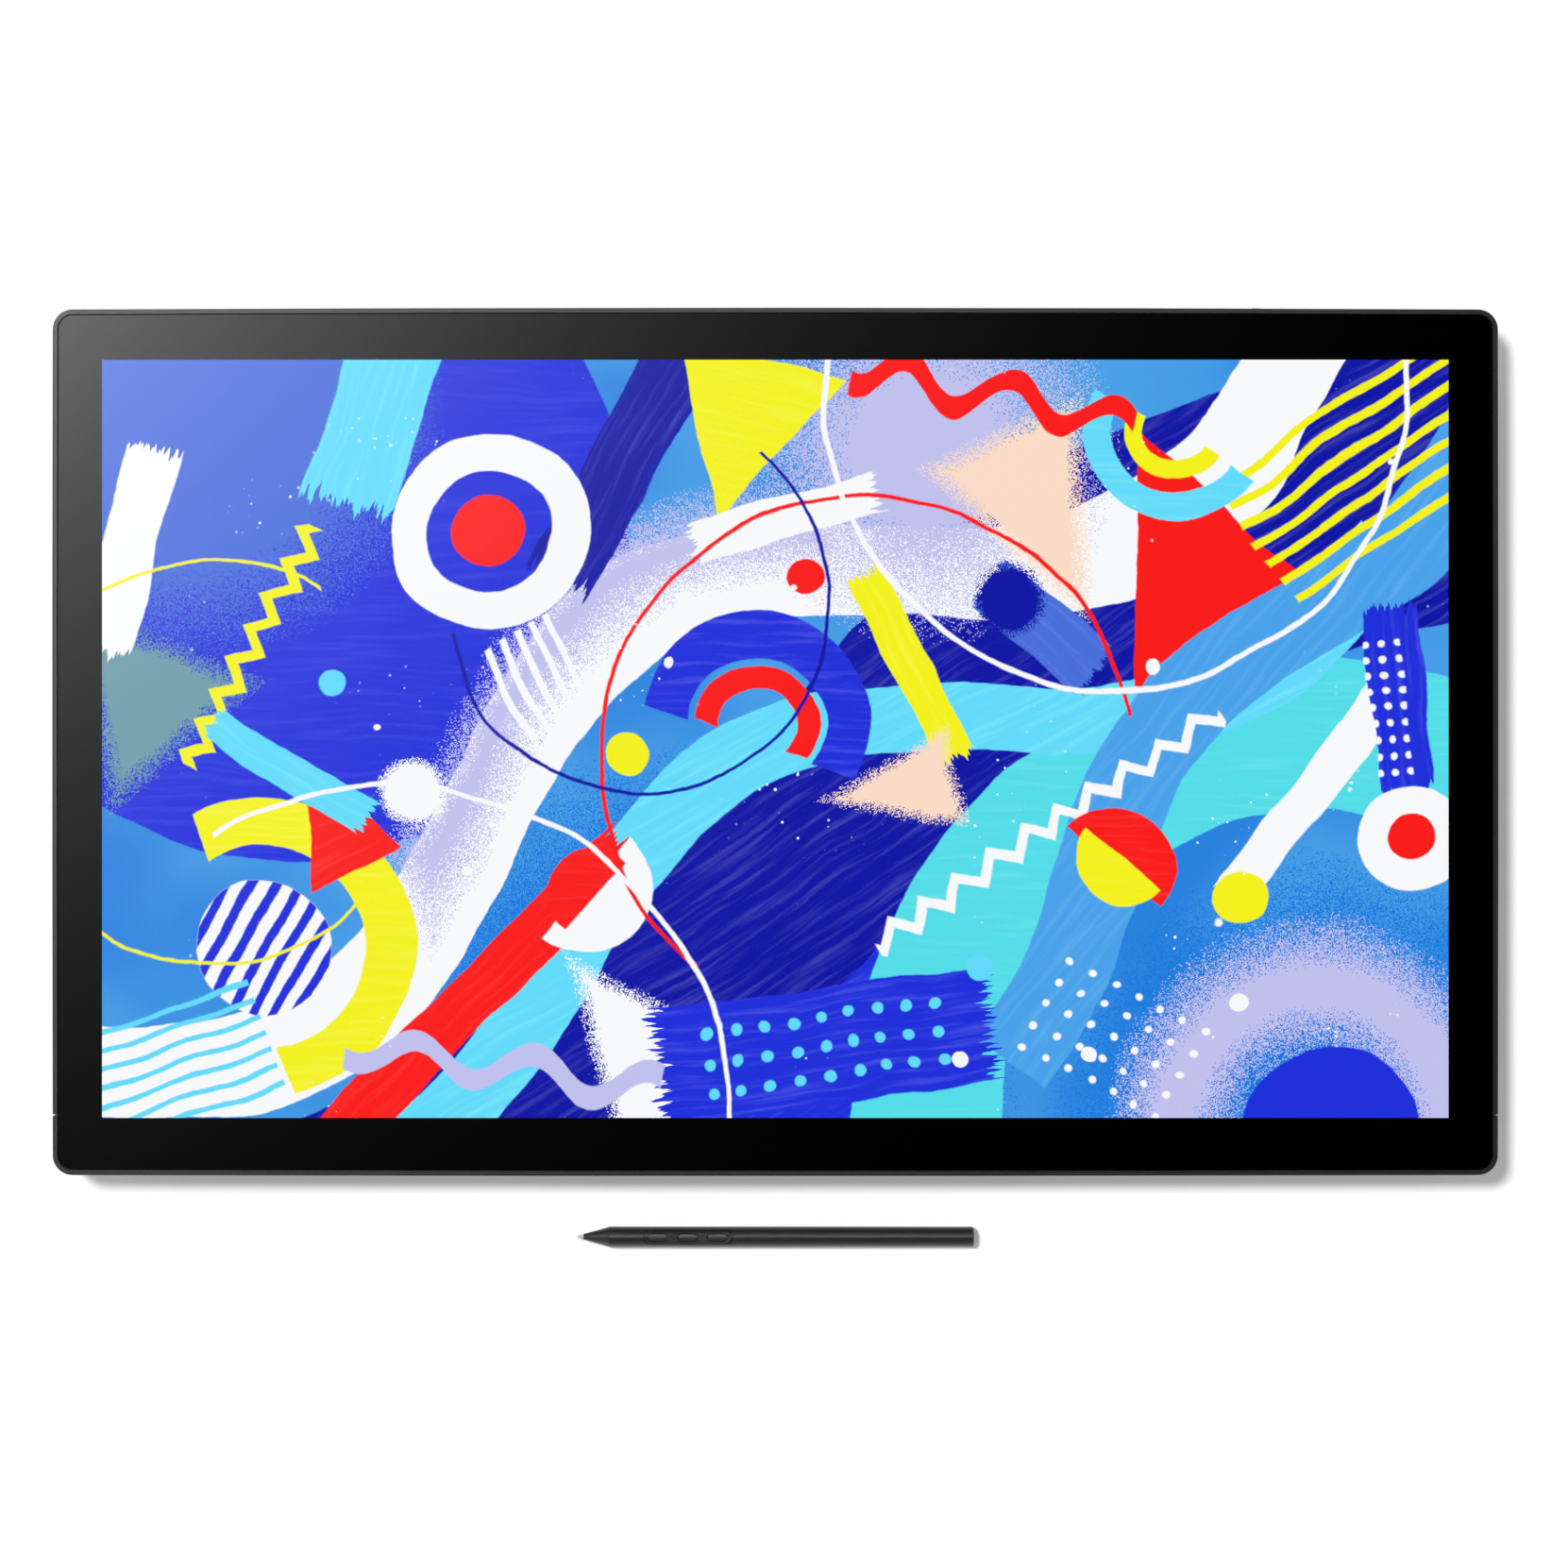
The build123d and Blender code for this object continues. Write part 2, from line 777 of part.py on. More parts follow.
with BuildPart() as shell_screws:
    with Locations(*[(x, y, cover_depth) for x, y in frame_screw_places]):
        Cylinder(
            frame_screw_radius,
            frame_screw_length,
            align=(Align.CENTER, Align.CENTER, Align.MIN),
        )
        Cone(
            frame_screw_head,
            frame_screw_radius,
            frame_screw_head - frame_screw_radius,
            align=(Align.CENTER, Align.CENTER, Align.MIN),
        )

# Electronics cover: a shallow tapered box screwed to the chassis through the shell's opening
arm_places = [(i * arm_pitch / 2, j * arm_pitch / 2) for i in (-1, 1) for j in (-1, 1)]


def side_hole(side, y, z, width, height):
    """An opening through one tapered side wall of the electronics cover."""
    with BuildSketch(side_plane(side, cover_width / 2 + overrun, z)) as outline:
        with Locations((side * y, 0)):
            Rectangle(width + 2 * socket_hole_gap, height + 2 * socket_hole_gap)
    extrude(outline.sketch, amount=-(overrun + 2 * cover_wall), mode=Mode.SUBTRACT)


with BuildPart() as electronics_cover:
    with BuildSketch(Plane.XY.offset(cover_depth)):
        RectangleRounded(cover_width, cover_height, cover_radius)
    extrude(amount=-cover_depth, taper=cover_taper)
    fillet(electronics_cover.faces().sort_by(Axis.Z)[0].edges(), radius=cover_edge)
    with BuildSketch(Plane.XY.offset(cover_depth)):
        RectangleRounded(
            cover_width - 2 * cover_wall,
            cover_height - 2 * cover_wall,
            cover_radius - cover_wall,
        )
    extrude(amount=-(cover_depth - cover_wall), taper=cover_taper, mode=Mode.SUBTRACT)
    rounds(cover_screw_places, cover_boss_radius, cover_wall, chassis_bottom - cover_wall)
    rounds(
        cover_screw_places,
        cover_screw_radius + screw_clearance,
        0,
        chassis_bottom,
        mode=Mode.SUBTRACT,
    )
    rounds(
        cover_screw_places,
        cover_screw_head + head_clearance,
        0,
        cover_screw_head_height + cover_screw_sink,
        mode=Mode.SUBTRACT,
    )
    rounds(arm_places, arm_boss_radius + arm_boss_clearance, 0, cover_wall, mode=Mode.SUBTRACT)
    with BuildSketch(Plane.XY):
        with Locations((-fan_x, fan_y), (fan_x, fan_y)):
            with GridLocations(intake_slot_pitch, 0, intake_slot_count, 1):
                SlotOverall(intake_slot_length, intake_slot_width, rotation=90)
    extrude(amount=cover_wall, mode=Mode.SUBTRACT)
    with BuildSketch(Plane((0, cover_height / 2 + overrun, vent_z), (-1, 0, 0), (0, 1, 0))):
        with Locations((-fan_x, 0), (fan_x, 0)):
            with GridLocations(exhaust_slot_pitch, 0, exhaust_slot_count // 2, 1):
                SlotOverall(exhaust_slot_height, exhaust_slot_width, rotation=90)
    extrude(amount=-(overrun + 2 * cover_wall), mode=Mode.SUBTRACT)
    for y, width, height, depth in signal_socket_sizes:
        side_hole(-1, y, board_bottom - height / 2, width, height)
    side_hole(
        1,
        power_socket_y,
        board_bottom - power_socket_height / 2,
        power_socket_width,
        power_socket_height,
    )
    side_hole(1, lock_slot_y, vent_z, lock_slot_length, lock_slot_height)

with BuildPart() as cover_screws:
    with Locations(*[(x, y, cover_screw_sink) for x, y in cover_screw_places]):
        Cylinder(
            cover_screw_head,
            cover_screw_head_height,
            align=(Align.CENTER, Align.CENTER, Align.MIN),
        )
        Cylinder(
            cover_screw_radius,
            frame_bottom - cover_screw_sink - stack_gap,
            align=(Align.CENTER, Align.CENTER, Align.MIN),
        )

with BuildPart() as rubber_feet:
    with BuildSketch(Plane.XY.offset(-foot_height)):
        with GridLocations(2 * foot_x, 2 * foot_y, 2, 2):
            SlotOverall(foot_length, foot_width)
    extrude(amount=foot_height)

with BuildPart() as arm_bracket:
    arm_plate_bottom = cover_wall + arm_plate_gap
    plate(arm_plate_size, arm_plate_size, arm_plate_bottom, arm_plate_thickness, corner=arm_pillar_inset)
    rounds(arm_places, arm_boss_radius, 0, arm_plate_bottom)
    pillar_pitch = arm_plate_size - 2 * arm_pillar_inset
    with BuildSketch(Plane.XY.offset(arm_plate_bottom)):
        with GridLocations(pillar_pitch, pillar_pitch, 2, 2):
            Circle(arm_pillar_radius)
    extrude(amount=chassis_bottom - arm_plate_bottom)
    rounds(arm_places, arm_hole_radius, 0, arm_plate_bottom + arm_plate_thickness, mode=Mode.SUBTRACT)

# Boards, their parts and sockets


def board(x, y, width, height):
    """A circuit board with a screw hole near each corner."""
    plate(width, height, board_bottom, board_thickness, x=x, y=y)
    rounds(
        corner_places(x, y, width, height),
        board_screw_radius + head_clearance,
        board_bottom,
        board_thickness,
        mode=Mode.SUBTRACT,
    )


with BuildPart() as main_board:
    board(*boards[0])

with BuildPart() as power_board:
    board(*boards[1])

with BuildPart() as driver_board:
    board(*boards[2])

with BuildPart() as board_screws:
    with Locations(*[(x, y, board_bottom) for x, y in board_screw_places]):
        Cylinder(
            board_screw_radius,
            board_screw_length,
            align=(Align.CENTER, Align.CENTER, Align.MIN),
        )
        Cylinder(
            board_screw_head,
            board_screw_head_height,
            align=(Align.CENTER, Align.CENTER, Align.MAX),
        )

with BuildPart() as board_chips:
    plate(chip_size, chip_size, board_bottom - chip_height, chip_height, x=chip_x, y=chip_y)
    chip_left = main_board_x - part_pitch
    with BuildSketch(Plane.XY.offset(board_bottom - small_chip_height)):
        with Locations((chip_left, main_board_y)):
            with GridLocations(part_pitch, part_pitch, 2, 3):
                Rectangle(small_chip_size, small_chip_size)
        with Locations((driver_board_x, driver_board_y)):
            with GridLocations(2 * part_pitch, 0, 2, 1):
                Rectangle(small_chip_size, small_chip_size)
    extrude(amount=small_chip_height)

with BuildPart() as power_parts:
    with BuildSketch(Plane.XY.offset(board_bottom - coil_height)):
        with Locations((power_board_x - part_pitch, power_board_y)):
            with GridLocations(part_pitch, part_pitch, 1, 2):
                RectangleRounded(coil_size, coil_size, coil_corner)
    extrude(amount=coil_height)
    with BuildSketch(Plane.XY.offset(board_bottom - capacitor_height)):
        with Locations((power_board_x + part_pitch / 4, power_board_y)):
            with GridLocations(part_pitch / 2, part_pitch, 2, 2):
                Circle(capacitor_radius)
    extrude(amount=capacitor_height)


def socket(side, y, width, height, depth):
    """A metal socket shell under a board, with its mouth in the cover's side wall and a tongue inside."""
    mouth = side_plane(side, cover_width / 2 - cover_wall / 2, board_bottom - height / 2)
    with BuildSketch(mouth) as outline:
        with Locations((side * y, 0)):
            Rectangle(width, height)
    extrude(outline.sketch, amount=-depth)
    with BuildSketch(mouth) as hollow:
        with Locations((side * y, 0)):
            Rectangle(width - 2 * socket_wall, height - 2 * socket_wall)
            Rectangle(width * socket_tongue_share, socket_tongue, mode=Mode.SUBTRACT)
    extrude(hollow.sketch, amount=-(depth - socket_wall), mode=Mode.SUBTRACT)


with BuildPart() as signal_sockets:
    for y, width, height, depth in signal_socket_sizes:
        socket(-1, y, width, height, depth)

with BuildPart() as power_socket:
    socket(1, power_socket_y, power_socket_width, power_socket_height, power_socket_depth)

# Cooling
with BuildPart() as heat_spreader:
    plate(
        spreader_size,
        spreader_size,
        spreader_top - spreader_thickness,
        spreader_thickness,
        x=chip_x,
        y=chip_y,
    )

with BuildPart() as heat_pipe:
    with BuildLine(Plane.XY.offset(pipe_top - pipe_thickness / 2)) as pipe_path:
        FilletPolyline(
            (chip_x, chip_y - pipe_run),
            (chip_x, fin_y),
            (-fan_x - fin_stack_width / 2, fin_y),
            radius=pipe_bend,
        )
    with BuildSketch(Plane(pipe_path.line @ 0, x_dir=(1, 0, 0), z_dir=(0, 1, 0))):
        SlotOverall(pipe_width, pipe_thickness)
    sweep()

with BuildPart() as fin_stacks:
    with BuildSketch(Plane.XY.offset(pipe_top + thermal_gap)):
        with Locations((-fan_x, fin_y), (fan_x, fin_y)):
            Rectangle(fin_stack_width, fin_stack_depth)
    extrude(amount=fin_base)
    with BuildSketch(Plane.XY.offset(pipe_top + thermal_gap + fin_base)):
        with Locations((-fan_x, fin_y), (fan_x, fin_y)):
            with GridLocations(fin_pitch, 0, fin_count, 1):
                Rectangle(fin_thickness, fin_stack_depth)
    extrude(amount=fin_height)

with BuildPart() as fan_cases:
    fan_places = [(-fan_x, fan_y), (fan_x, fan_y)]
    with BuildSketch(Plane.XY.offset(fan_bottom)):
        with Locations(*fan_places):
            RectangleRounded(fan_size, fan_size, fan_corner)
    extrude(amount=fan_height)
    with BuildSketch(Plane.XY.offset(fan_bottom + fan_plate)):
        with Locations(*fan_places):
            Circle(fan_cavity_radius)
        with Locations(*[(x, y + fan_size / 4 + overrun) for x, y in fan_places]):
            Rectangle(fan_outlet_width, fan_size / 2 + 2 * overrun)
    extrude(amount=fan_height - 2 * fan_plate, mode=Mode.SUBTRACT)
    rounds(fan_places, fan_intake_radius, fan_bottom, fan_plate, mode=Mode.SUBTRACT)
    rounds(fan_places, bearing_radius, chassis_bottom - fan_plate - shaft_length, shaft_length)
    rounds(
        fan_places,
        rotor_shaft_radius + bearing_clearance,
        chassis_bottom - fan_plate - shaft_length,
        shaft_length,
        mode=Mode.SUBTRACT,
    )


def rotor(x):
    """A blower wheel with leaning blades, hung by its shaft from the bearing in the fan case."""
    with BuildSketch(Plane.XY.offset(rotor_bottom)) as wheel:
        with Locations((x, fan_y)):
            Circle(rotor_hub_radius)
            with PolarLocations(rotor_hub_radius, blade_count):
                Rectangle(2 * (rotor_radius - rotor_hub_radius), blade_thickness, rotation=blade_lean)
    extrude(wheel.sketch, amount=rotor_height)
    rounds([(x, fan_y)], rotor_shaft_radius, rotor_bottom, rotor_height + shaft_length)


with BuildPart() as fan_rotor_left:
    rotor(-fan_x)

with BuildPart() as fan_rotor_right:
    rotor(fan_x)

# Shortcut keys with their boards and dome switches
with BuildPart() as key_boards:
    with BuildSketch(Plane.XY.offset(key_board_bottom)):
        with Locations((-key_x, key_y), (key_x, key_y)):
            Rectangle(key_board_width, key_board_length)
        with Locations(*stake_spots):
            Circle(stake_radius + stake_clearance, mode=Mode.SUBTRACT)
    extrude(amount=key_board_thickness)
    rounds(key_spots, key_switch_radius, key_switch_bottom, key_switch_height)

keys = {}
for side, side_name in ((-1, "left"), (1, "right")):
    for row, y in enumerate(key_places):
        key_spot = [(side * key_x, y)]
        with BuildPart() as key:
            pills(key_spot, key_length, key_width, cover_depth - key_proud, shell_floor + key_proud)
            fillet(key.faces().sort_by(Axis.Z)[0].edges(), radius=key_edge)
            pills(
                key_spot,
                key_length + 2 * key_flange,
                key_width + 2 * key_flange,
                floor_top,
                key_flange_thickness,
            )
        keys[f"shortcut_key_{side_name}_{row + 1}"] = key

# Power button and touch switch
button_back = top_edge(button_x) - rim_width - button_wall_gap - button_flange_thickness
switch_front = button_back - button_travel - switch_gap
board_face = switch_front - switch_body_depth


with BuildPart() as power_button:
    with BuildSketch(edge_plane(button_x, button_back)):
        SlotOverall(button_width, button_height)
    extrude(amount=top_edge(button_x) + button_proud - button_back)
    fillet(power_button.faces().sort_by(Axis.Y)[-1].edges(), radius=button_proud / 2)
    with BuildSketch(edge_plane(button_x, button_back)):
        Rectangle(button_width + 2 * button_flange, button_height)
    extrude(amount=button_flange_thickness)

with BuildPart() as touch_switch:
    touch_rest_x = touch_x - touch_travel / 2
    with BuildSketch(edge_plane(touch_rest_x, button_back)):
        SlotOverall(touch_knob_width, button_height)
    extrude(amount=top_edge(touch_x) + button_proud - button_back)
    with BuildSketch(edge_plane(touch_rest_x, button_back)):
        Rectangle(touch_knob_width + 2 * button_flange, button_height)
    extrude(amount=button_flange_thickness)
    with BuildSketch(edge_plane(touch_rest_x, top_edge(touch_x) + button_proud)):
        with GridLocations(2 * touch_ridge, 0, 3, 1):
            Rectangle(touch_ridge, button_height / 2)
    extrude(amount=touch_ridge / 2)

with BuildPart() as switch_board:
    board_middle = (button_x + touch_x) / 2
    with BuildSketch(Plane.XY.offset(frame_bottom + switch_board_gap)):
        with Locations((board_middle, board_face - switch_board_thickness / 2)):
            Rectangle(
                button_x - touch_x + 2 * switch_board_end,
                switch_board_thickness,
            )
    extrude(amount=ledge_bottom - frame_bottom - 2 * switch_board_gap)
    for x in (button_x, touch_x):
        with BuildSketch(edge_plane(x, board_face)):
            Rectangle(switch_body_width, switch_body_height)
        extrude(amount=switch_body_depth)

# Flat cables: out over the tray wall, down through the chassis and in to the driver board
ribbon_low = chassis_bottom - shell_pad / 2
ribbon_high = lcd_bottom + lcd_thickness / 2
ribbon_start_y = screen_y - screen_height / 2 - lcd_border
ribbon_plug_y = driver_board_y - driver_board_height / 2 + ribbon_plug_depth
with BuildPart() as panel_cables:
    for x in ribbon_places:
        with BuildLine(Plane((x, 0, 0), (0, 1, 0), (1, 0, 0))):
            FilletPolyline(
                (ribbon_start_y, ribbon_high),
                (ribbon_y, ribbon_high),
                (ribbon_y, ribbon_low),
                (ribbon_plug_y - ribbon_drop, ribbon_low),
                (ribbon_plug_y, board_top + ribbon_plug_height / 2),
                radius=ribbon_bend,
            )
        with BuildSketch(Plane((x, ribbon_start_y, ribbon_high), (1, 0, 0), (0, -1, 0))):
            Rectangle(ribbon_width, ribbon_thickness)
        sweep()
    blocks(
        [(x, ribbon_plug_y + ribbon_plug_depth / 2) for x in ribbon_places],
        ribbon_width,
        ribbon_plug_depth,
        board_top,
        ribbon_plug_height,
    )

# Pen


def pen_round(points):
    """A turned piece of the pen, from (distance from the tip, radius) points."""
    with BuildSketch(pen_side) as profile:
        with BuildLine():
            Polyline(*points, close=True)
        make_face()
    revolve(profile.sketch, axis=pen_axis)


def pen_pills(places, length, width, low, high, mode=Mode.ADD):
    """Upright round-ended blocks on the pen, from one height above its axis to another."""
    with BuildSketch(pen_plan.offset(low)) as outline:
        with Locations(*[(place, 0) for place in places]):
            SlotOverall(length, width)
    extrude(outline.sketch, amount=high - low, mode=mode)


def pen_tube(inner, outer, start, end, mode=Mode.ADD):
    """A straight tube, or a rod if inner is 0, round the pen's axis."""
    with BuildSketch(Plane(pen_axis.position, (0, 1, 0), (1, 0, 0)).offset(start)) as ring:
        Circle(outer)
        if inner:
            Circle(inner, mode=Mode.SUBTRACT)
    extrude(ring.sketch, amount=end - start, mode=mode)


with BuildPart() as pen_nib:
    with BuildSketch(pen_side):
        with BuildLine():
            ThreePointArc(
                (0, 0),
                (nib_point * (1 - math.sqrt(0.5)), nib_radius * math.sqrt(0.5)),
                (nib_point, nib_radius),
            )
            Polyline((nib_point, nib_radius), (nib_length, nib_radius), (nib_length, 0), (0, 0))
        make_face()
    revolve(axis=pen_axis)

nib_bore = nib_radius + nib_clearance
with BuildPart() as pen_cone:
    pen_round(
        [
            (cone_start, nib_bore),
            (cone_start, cone_tip_radius),
            (cone_seam, cone_seam_radius),
            (cone_seam, cone_bore_radius),
            (cone_bore_start, cone_bore_radius),
            (cone_bore_start, nib_bore),
        ]
    )
    fillet(
        pen_cone.edges().filter_by(GeomType.CIRCLE).group_by(Axis.X)[0].sort_by(SortBy.RADIUS)[-1],
        radius=(cone_tip_radius - nib_bore) / 2,
    )

with BuildPart() as pen_grip:
    pen_round(
        [
            (cone_seam, pen_bore_radius),
            (cone_seam, cone_seam_radius),
            (cone_shoulder, pen_radius),
            (grip_end, pen_radius),
            (grip_end, pen_bore_radius),
        ]
    )
    # The pocket is longer than the plate, which leaves an open notch behind its rear end
    pen_pills(
        [plate_middle + plate_notch / 2],
        plate_length + 2 * plate_clearance + plate_notch,
        plate_width + 2 * plate_clearance,
        0,
        pen_radius,
        mode=Mode.SUBTRACT,
    )

with BuildPart() as pen_tail:
    tail_end = pen_length - pen_cap_length
    pen_round(
        [
            (grip_end - pen_spigot, pen_bore_radius - pen_tail_wall),
            (grip_end - pen_spigot, pen_bore_radius - pen_spigot_clearance),
            (grip_end, pen_bore_radius - pen_spigot_clearance),
            (grip_end, pen_radius),
            (tail_end, pen_tail_radius),
            (tail_end, pen_bore_radius - pen_tail_wall),
        ]
    )

with BuildPart() as pen_end_cap:
    plug_radius = pen_bore_radius - pen_tail_wall - pen_spigot_clearance
    pen_round(
        [
            (tail_end - pen_spigot, 0),
            (tail_end - pen_spigot, plug_radius),
            (tail_end, plug_radius),
            (tail_end, pen_tail_radius),
            (pen_length - pen_cap_edge, pen_tail_radius),
            (pen_length, pen_tail_radius - pen_cap_edge),
            (pen_length, 0),
        ]
    )

with BuildPart() as pen_switch_plate:
    pen_tube(pen_radius - plate_thickness, pen_radius, plate_start, plate_start + plate_length)
    # The plate's top falls away towards its rear end, where the grip stands above it
    with BuildSketch(pen_side) as fall:
        with BuildLine():
            Polyline(
                (plate_start, pen_radius),
                (plate_start + plate_length, pen_radius - plate_fall),
                (plate_start + plate_length, pen_radius),
                close=True,
            )
        make_face()
    extrude(fall.sketch, amount=plate_width, both=True, mode=Mode.SUBTRACT)
    pen_pills([plate_middle], plate_length, plate_width, 0, pen_radius, mode=Mode.INTERSECT)
    # A thin tongue under the plate's rear end is the floor of the notch
    plate_inner = pen_radius - plate_thickness
    tongue_end = plate_start + plate_length + plate_notch
    with BuildPart(mode=Mode.PRIVATE) as tongue:
        pen_tube(plate_inner, plate_inner + plate_floor, plate_middle, tongue_end)
        pen_pills(
            [plate_middle + plate_notch / 2],
            plate_length + plate_notch,
            plate_width,
            0,
            pen_radius,
            mode=Mode.INTERSECT,
        )
    add(tongue.part)
    pen_pills(
        switch_places,
        switch_length + 2 * switch_clearance,
        switch_width + 2 * switch_clearance,
        0,
        pen_radius,
        mode=Mode.SUBTRACT,
    )

pen_switches = {}
for number, place in enumerate(switch_places):
    with BuildPart() as pen_switch:
        fallen = plate_fall * (place - plate_start) / plate_length
        switch_top = pen_radius - fallen + switch_proud
        half = switch_length / 2
        pen_tube(0, switch_top, place - half, place + half)
        pen_pills([place], switch_length, switch_width, switch_stem, switch_top, mode=Mode.INTERSECT)
        with BuildSketch(pen_plan.offset(switch_stem)):
            with Locations((place, 0)):
                Rectangle(switch_length + 2 * switch_flange_length, switch_width)
        extrude(amount=switch_stem_flange)
    pen_switches[f"pen_switch_{number + 1}"] = pen_switch

with BuildPart() as pen_board:
    with BuildSketch(pen_plan.offset(pen_board_height)):
        with Locations((pen_board_start + pen_board_length / 2, 0)):
            Rectangle(pen_board_length, pen_board_width)
    extrude(amount=pen_board_thickness)
    with BuildSketch(pen_plan.offset(pen_board_height + pen_board_thickness)):
        with Locations(*[(place, 0) for place in switch_places]):
            Rectangle(tact_size, tact_size)
    extrude(amount=tact_top - pen_board_height - pen_board_thickness)

with BuildPart() as pen_coil:
    pen_tube(nib_bore + coil_gap, coil_radius, coil_start, coil_start + coil_length)

with BuildPart() as pen_pressure_sensor:
    pen_tube(0, sensor_radius, sensor_start, sensor_start + sensor_length)

pieces = {
    "cover_glass": cover_glass,
    "border_mask": border_mask,
    "frame_upper": frame_upper,
    "frame_lower": frame_lower,
    "accessory_inserts": accessory_inserts,
    "lcd_panel": lcd_panel,
    "diffuser_films": diffuser_films,
    "light_guide": light_guide,
    "reflector_sheet": reflector_sheet,
    "led_bar": led_bar,
    "backlight_tray": backlight_tray,
    "sensor_board": sensor_board,
    "shield_plate": shield_plate,
    "chassis_plate": chassis_plate,
    "rear_shell": rear_shell,
    "shell_screws": shell_screws,
    "electronics_cover": electronics_cover,
    "cover_screws": cover_screws,
    "rubber_feet": rubber_feet,
    "arm_bracket": arm_bracket,
    "main_board": main_board,
    "power_board": power_board,
    "driver_board": driver_board,
    "board_screws": board_screws,
    "board_chips": board_chips,
    "power_parts": power_parts,
    "signal_sockets": signal_sockets,
    "power_socket": power_socket,
    "heat_spreader": heat_spreader,
    "heat_pipe": heat_pipe,
    "fin_stacks": fin_stacks,
    "fan_cases": fan_cases,
    "fan_rotor_left": fan_rotor_left,
    "fan_rotor_right": fan_rotor_right,
    "key_boards": key_boards,
    "power_button": power_button,
    "touch_switch": touch_switch,
    "switch_board": switch_board,
    "panel_cables": panel_cables,
    "pen_nib": pen_nib,
    "pen_cone": pen_cone,
    "pen_grip": pen_grip,
    "pen_tail": pen_tail,
    "pen_end_cap": pen_end_cap,
    "pen_switch_plate": pen_switch_plate,
    "pen_board": pen_board,
    "pen_coil": pen_coil,
    "pen_pressure_sensor": pen_pressure_sensor,
    **keys,
    **pen_switches,
}

os.makedirs("parts", exist_ok=True)
for name, piece in pieces.items():
    piece.part.label = name
    export_step(piece.part, f"parts/{name}.step")
print(len(pieces), "pieces, front at", round(front, 3))
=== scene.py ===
import bmesh
import bpy
import math
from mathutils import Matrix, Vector


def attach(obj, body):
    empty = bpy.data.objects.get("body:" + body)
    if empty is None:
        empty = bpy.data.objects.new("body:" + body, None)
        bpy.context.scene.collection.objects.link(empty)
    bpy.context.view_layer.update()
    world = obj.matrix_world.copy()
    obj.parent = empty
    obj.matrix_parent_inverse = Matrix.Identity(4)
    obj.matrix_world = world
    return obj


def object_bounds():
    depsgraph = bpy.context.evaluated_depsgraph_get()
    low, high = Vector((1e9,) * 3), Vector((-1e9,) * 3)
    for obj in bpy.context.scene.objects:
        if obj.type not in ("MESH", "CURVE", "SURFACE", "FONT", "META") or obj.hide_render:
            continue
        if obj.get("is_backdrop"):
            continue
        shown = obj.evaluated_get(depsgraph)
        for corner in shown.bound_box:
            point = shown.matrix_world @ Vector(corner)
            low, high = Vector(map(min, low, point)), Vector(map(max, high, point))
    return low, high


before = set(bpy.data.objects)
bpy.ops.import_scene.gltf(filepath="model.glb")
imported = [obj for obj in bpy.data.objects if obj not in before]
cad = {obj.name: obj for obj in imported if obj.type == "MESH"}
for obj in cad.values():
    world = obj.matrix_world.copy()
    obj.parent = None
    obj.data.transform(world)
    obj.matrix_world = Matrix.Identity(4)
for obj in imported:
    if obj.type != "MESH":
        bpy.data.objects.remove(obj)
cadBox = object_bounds()
print("frame loaded with", len(cad), "pieces")


class Value:
    # one output of a node; sums on it add Math nodes
    def __init__(self, finish, socket):
        self.finish = finish
        self.socket = socket

    def __add__(self, other):
        return self.finish.math("ADD", self, other)

    def __radd__(self, other):
        return self.finish.math("ADD", other, self)

    def __sub__(self, other):
        return self.finish.math("SUBTRACT", self, other)

    def __rsub__(self, other):
        return self.finish.math("SUBTRACT", other, self)

    def __mul__(self, other):
        return self.finish.math("MULTIPLY", self, other)

    def __rmul__(self, other):
        return self.finish.math("MULTIPLY", other, self)

    def __truediv__(self, other):
        return self.finish.math("DIVIDE", self, other)

    def __rtruediv__(self, other):
        return self.finish.math("DIVIDE", other, self)

    def __pow__(self, other):
        return self.finish.math("POWER", self, other)

    def __rpow__(self, other):
        return self.finish.math("POWER", other, self)

    def __abs__(self):
        return self.finish.math("ABSOLUTE", self)


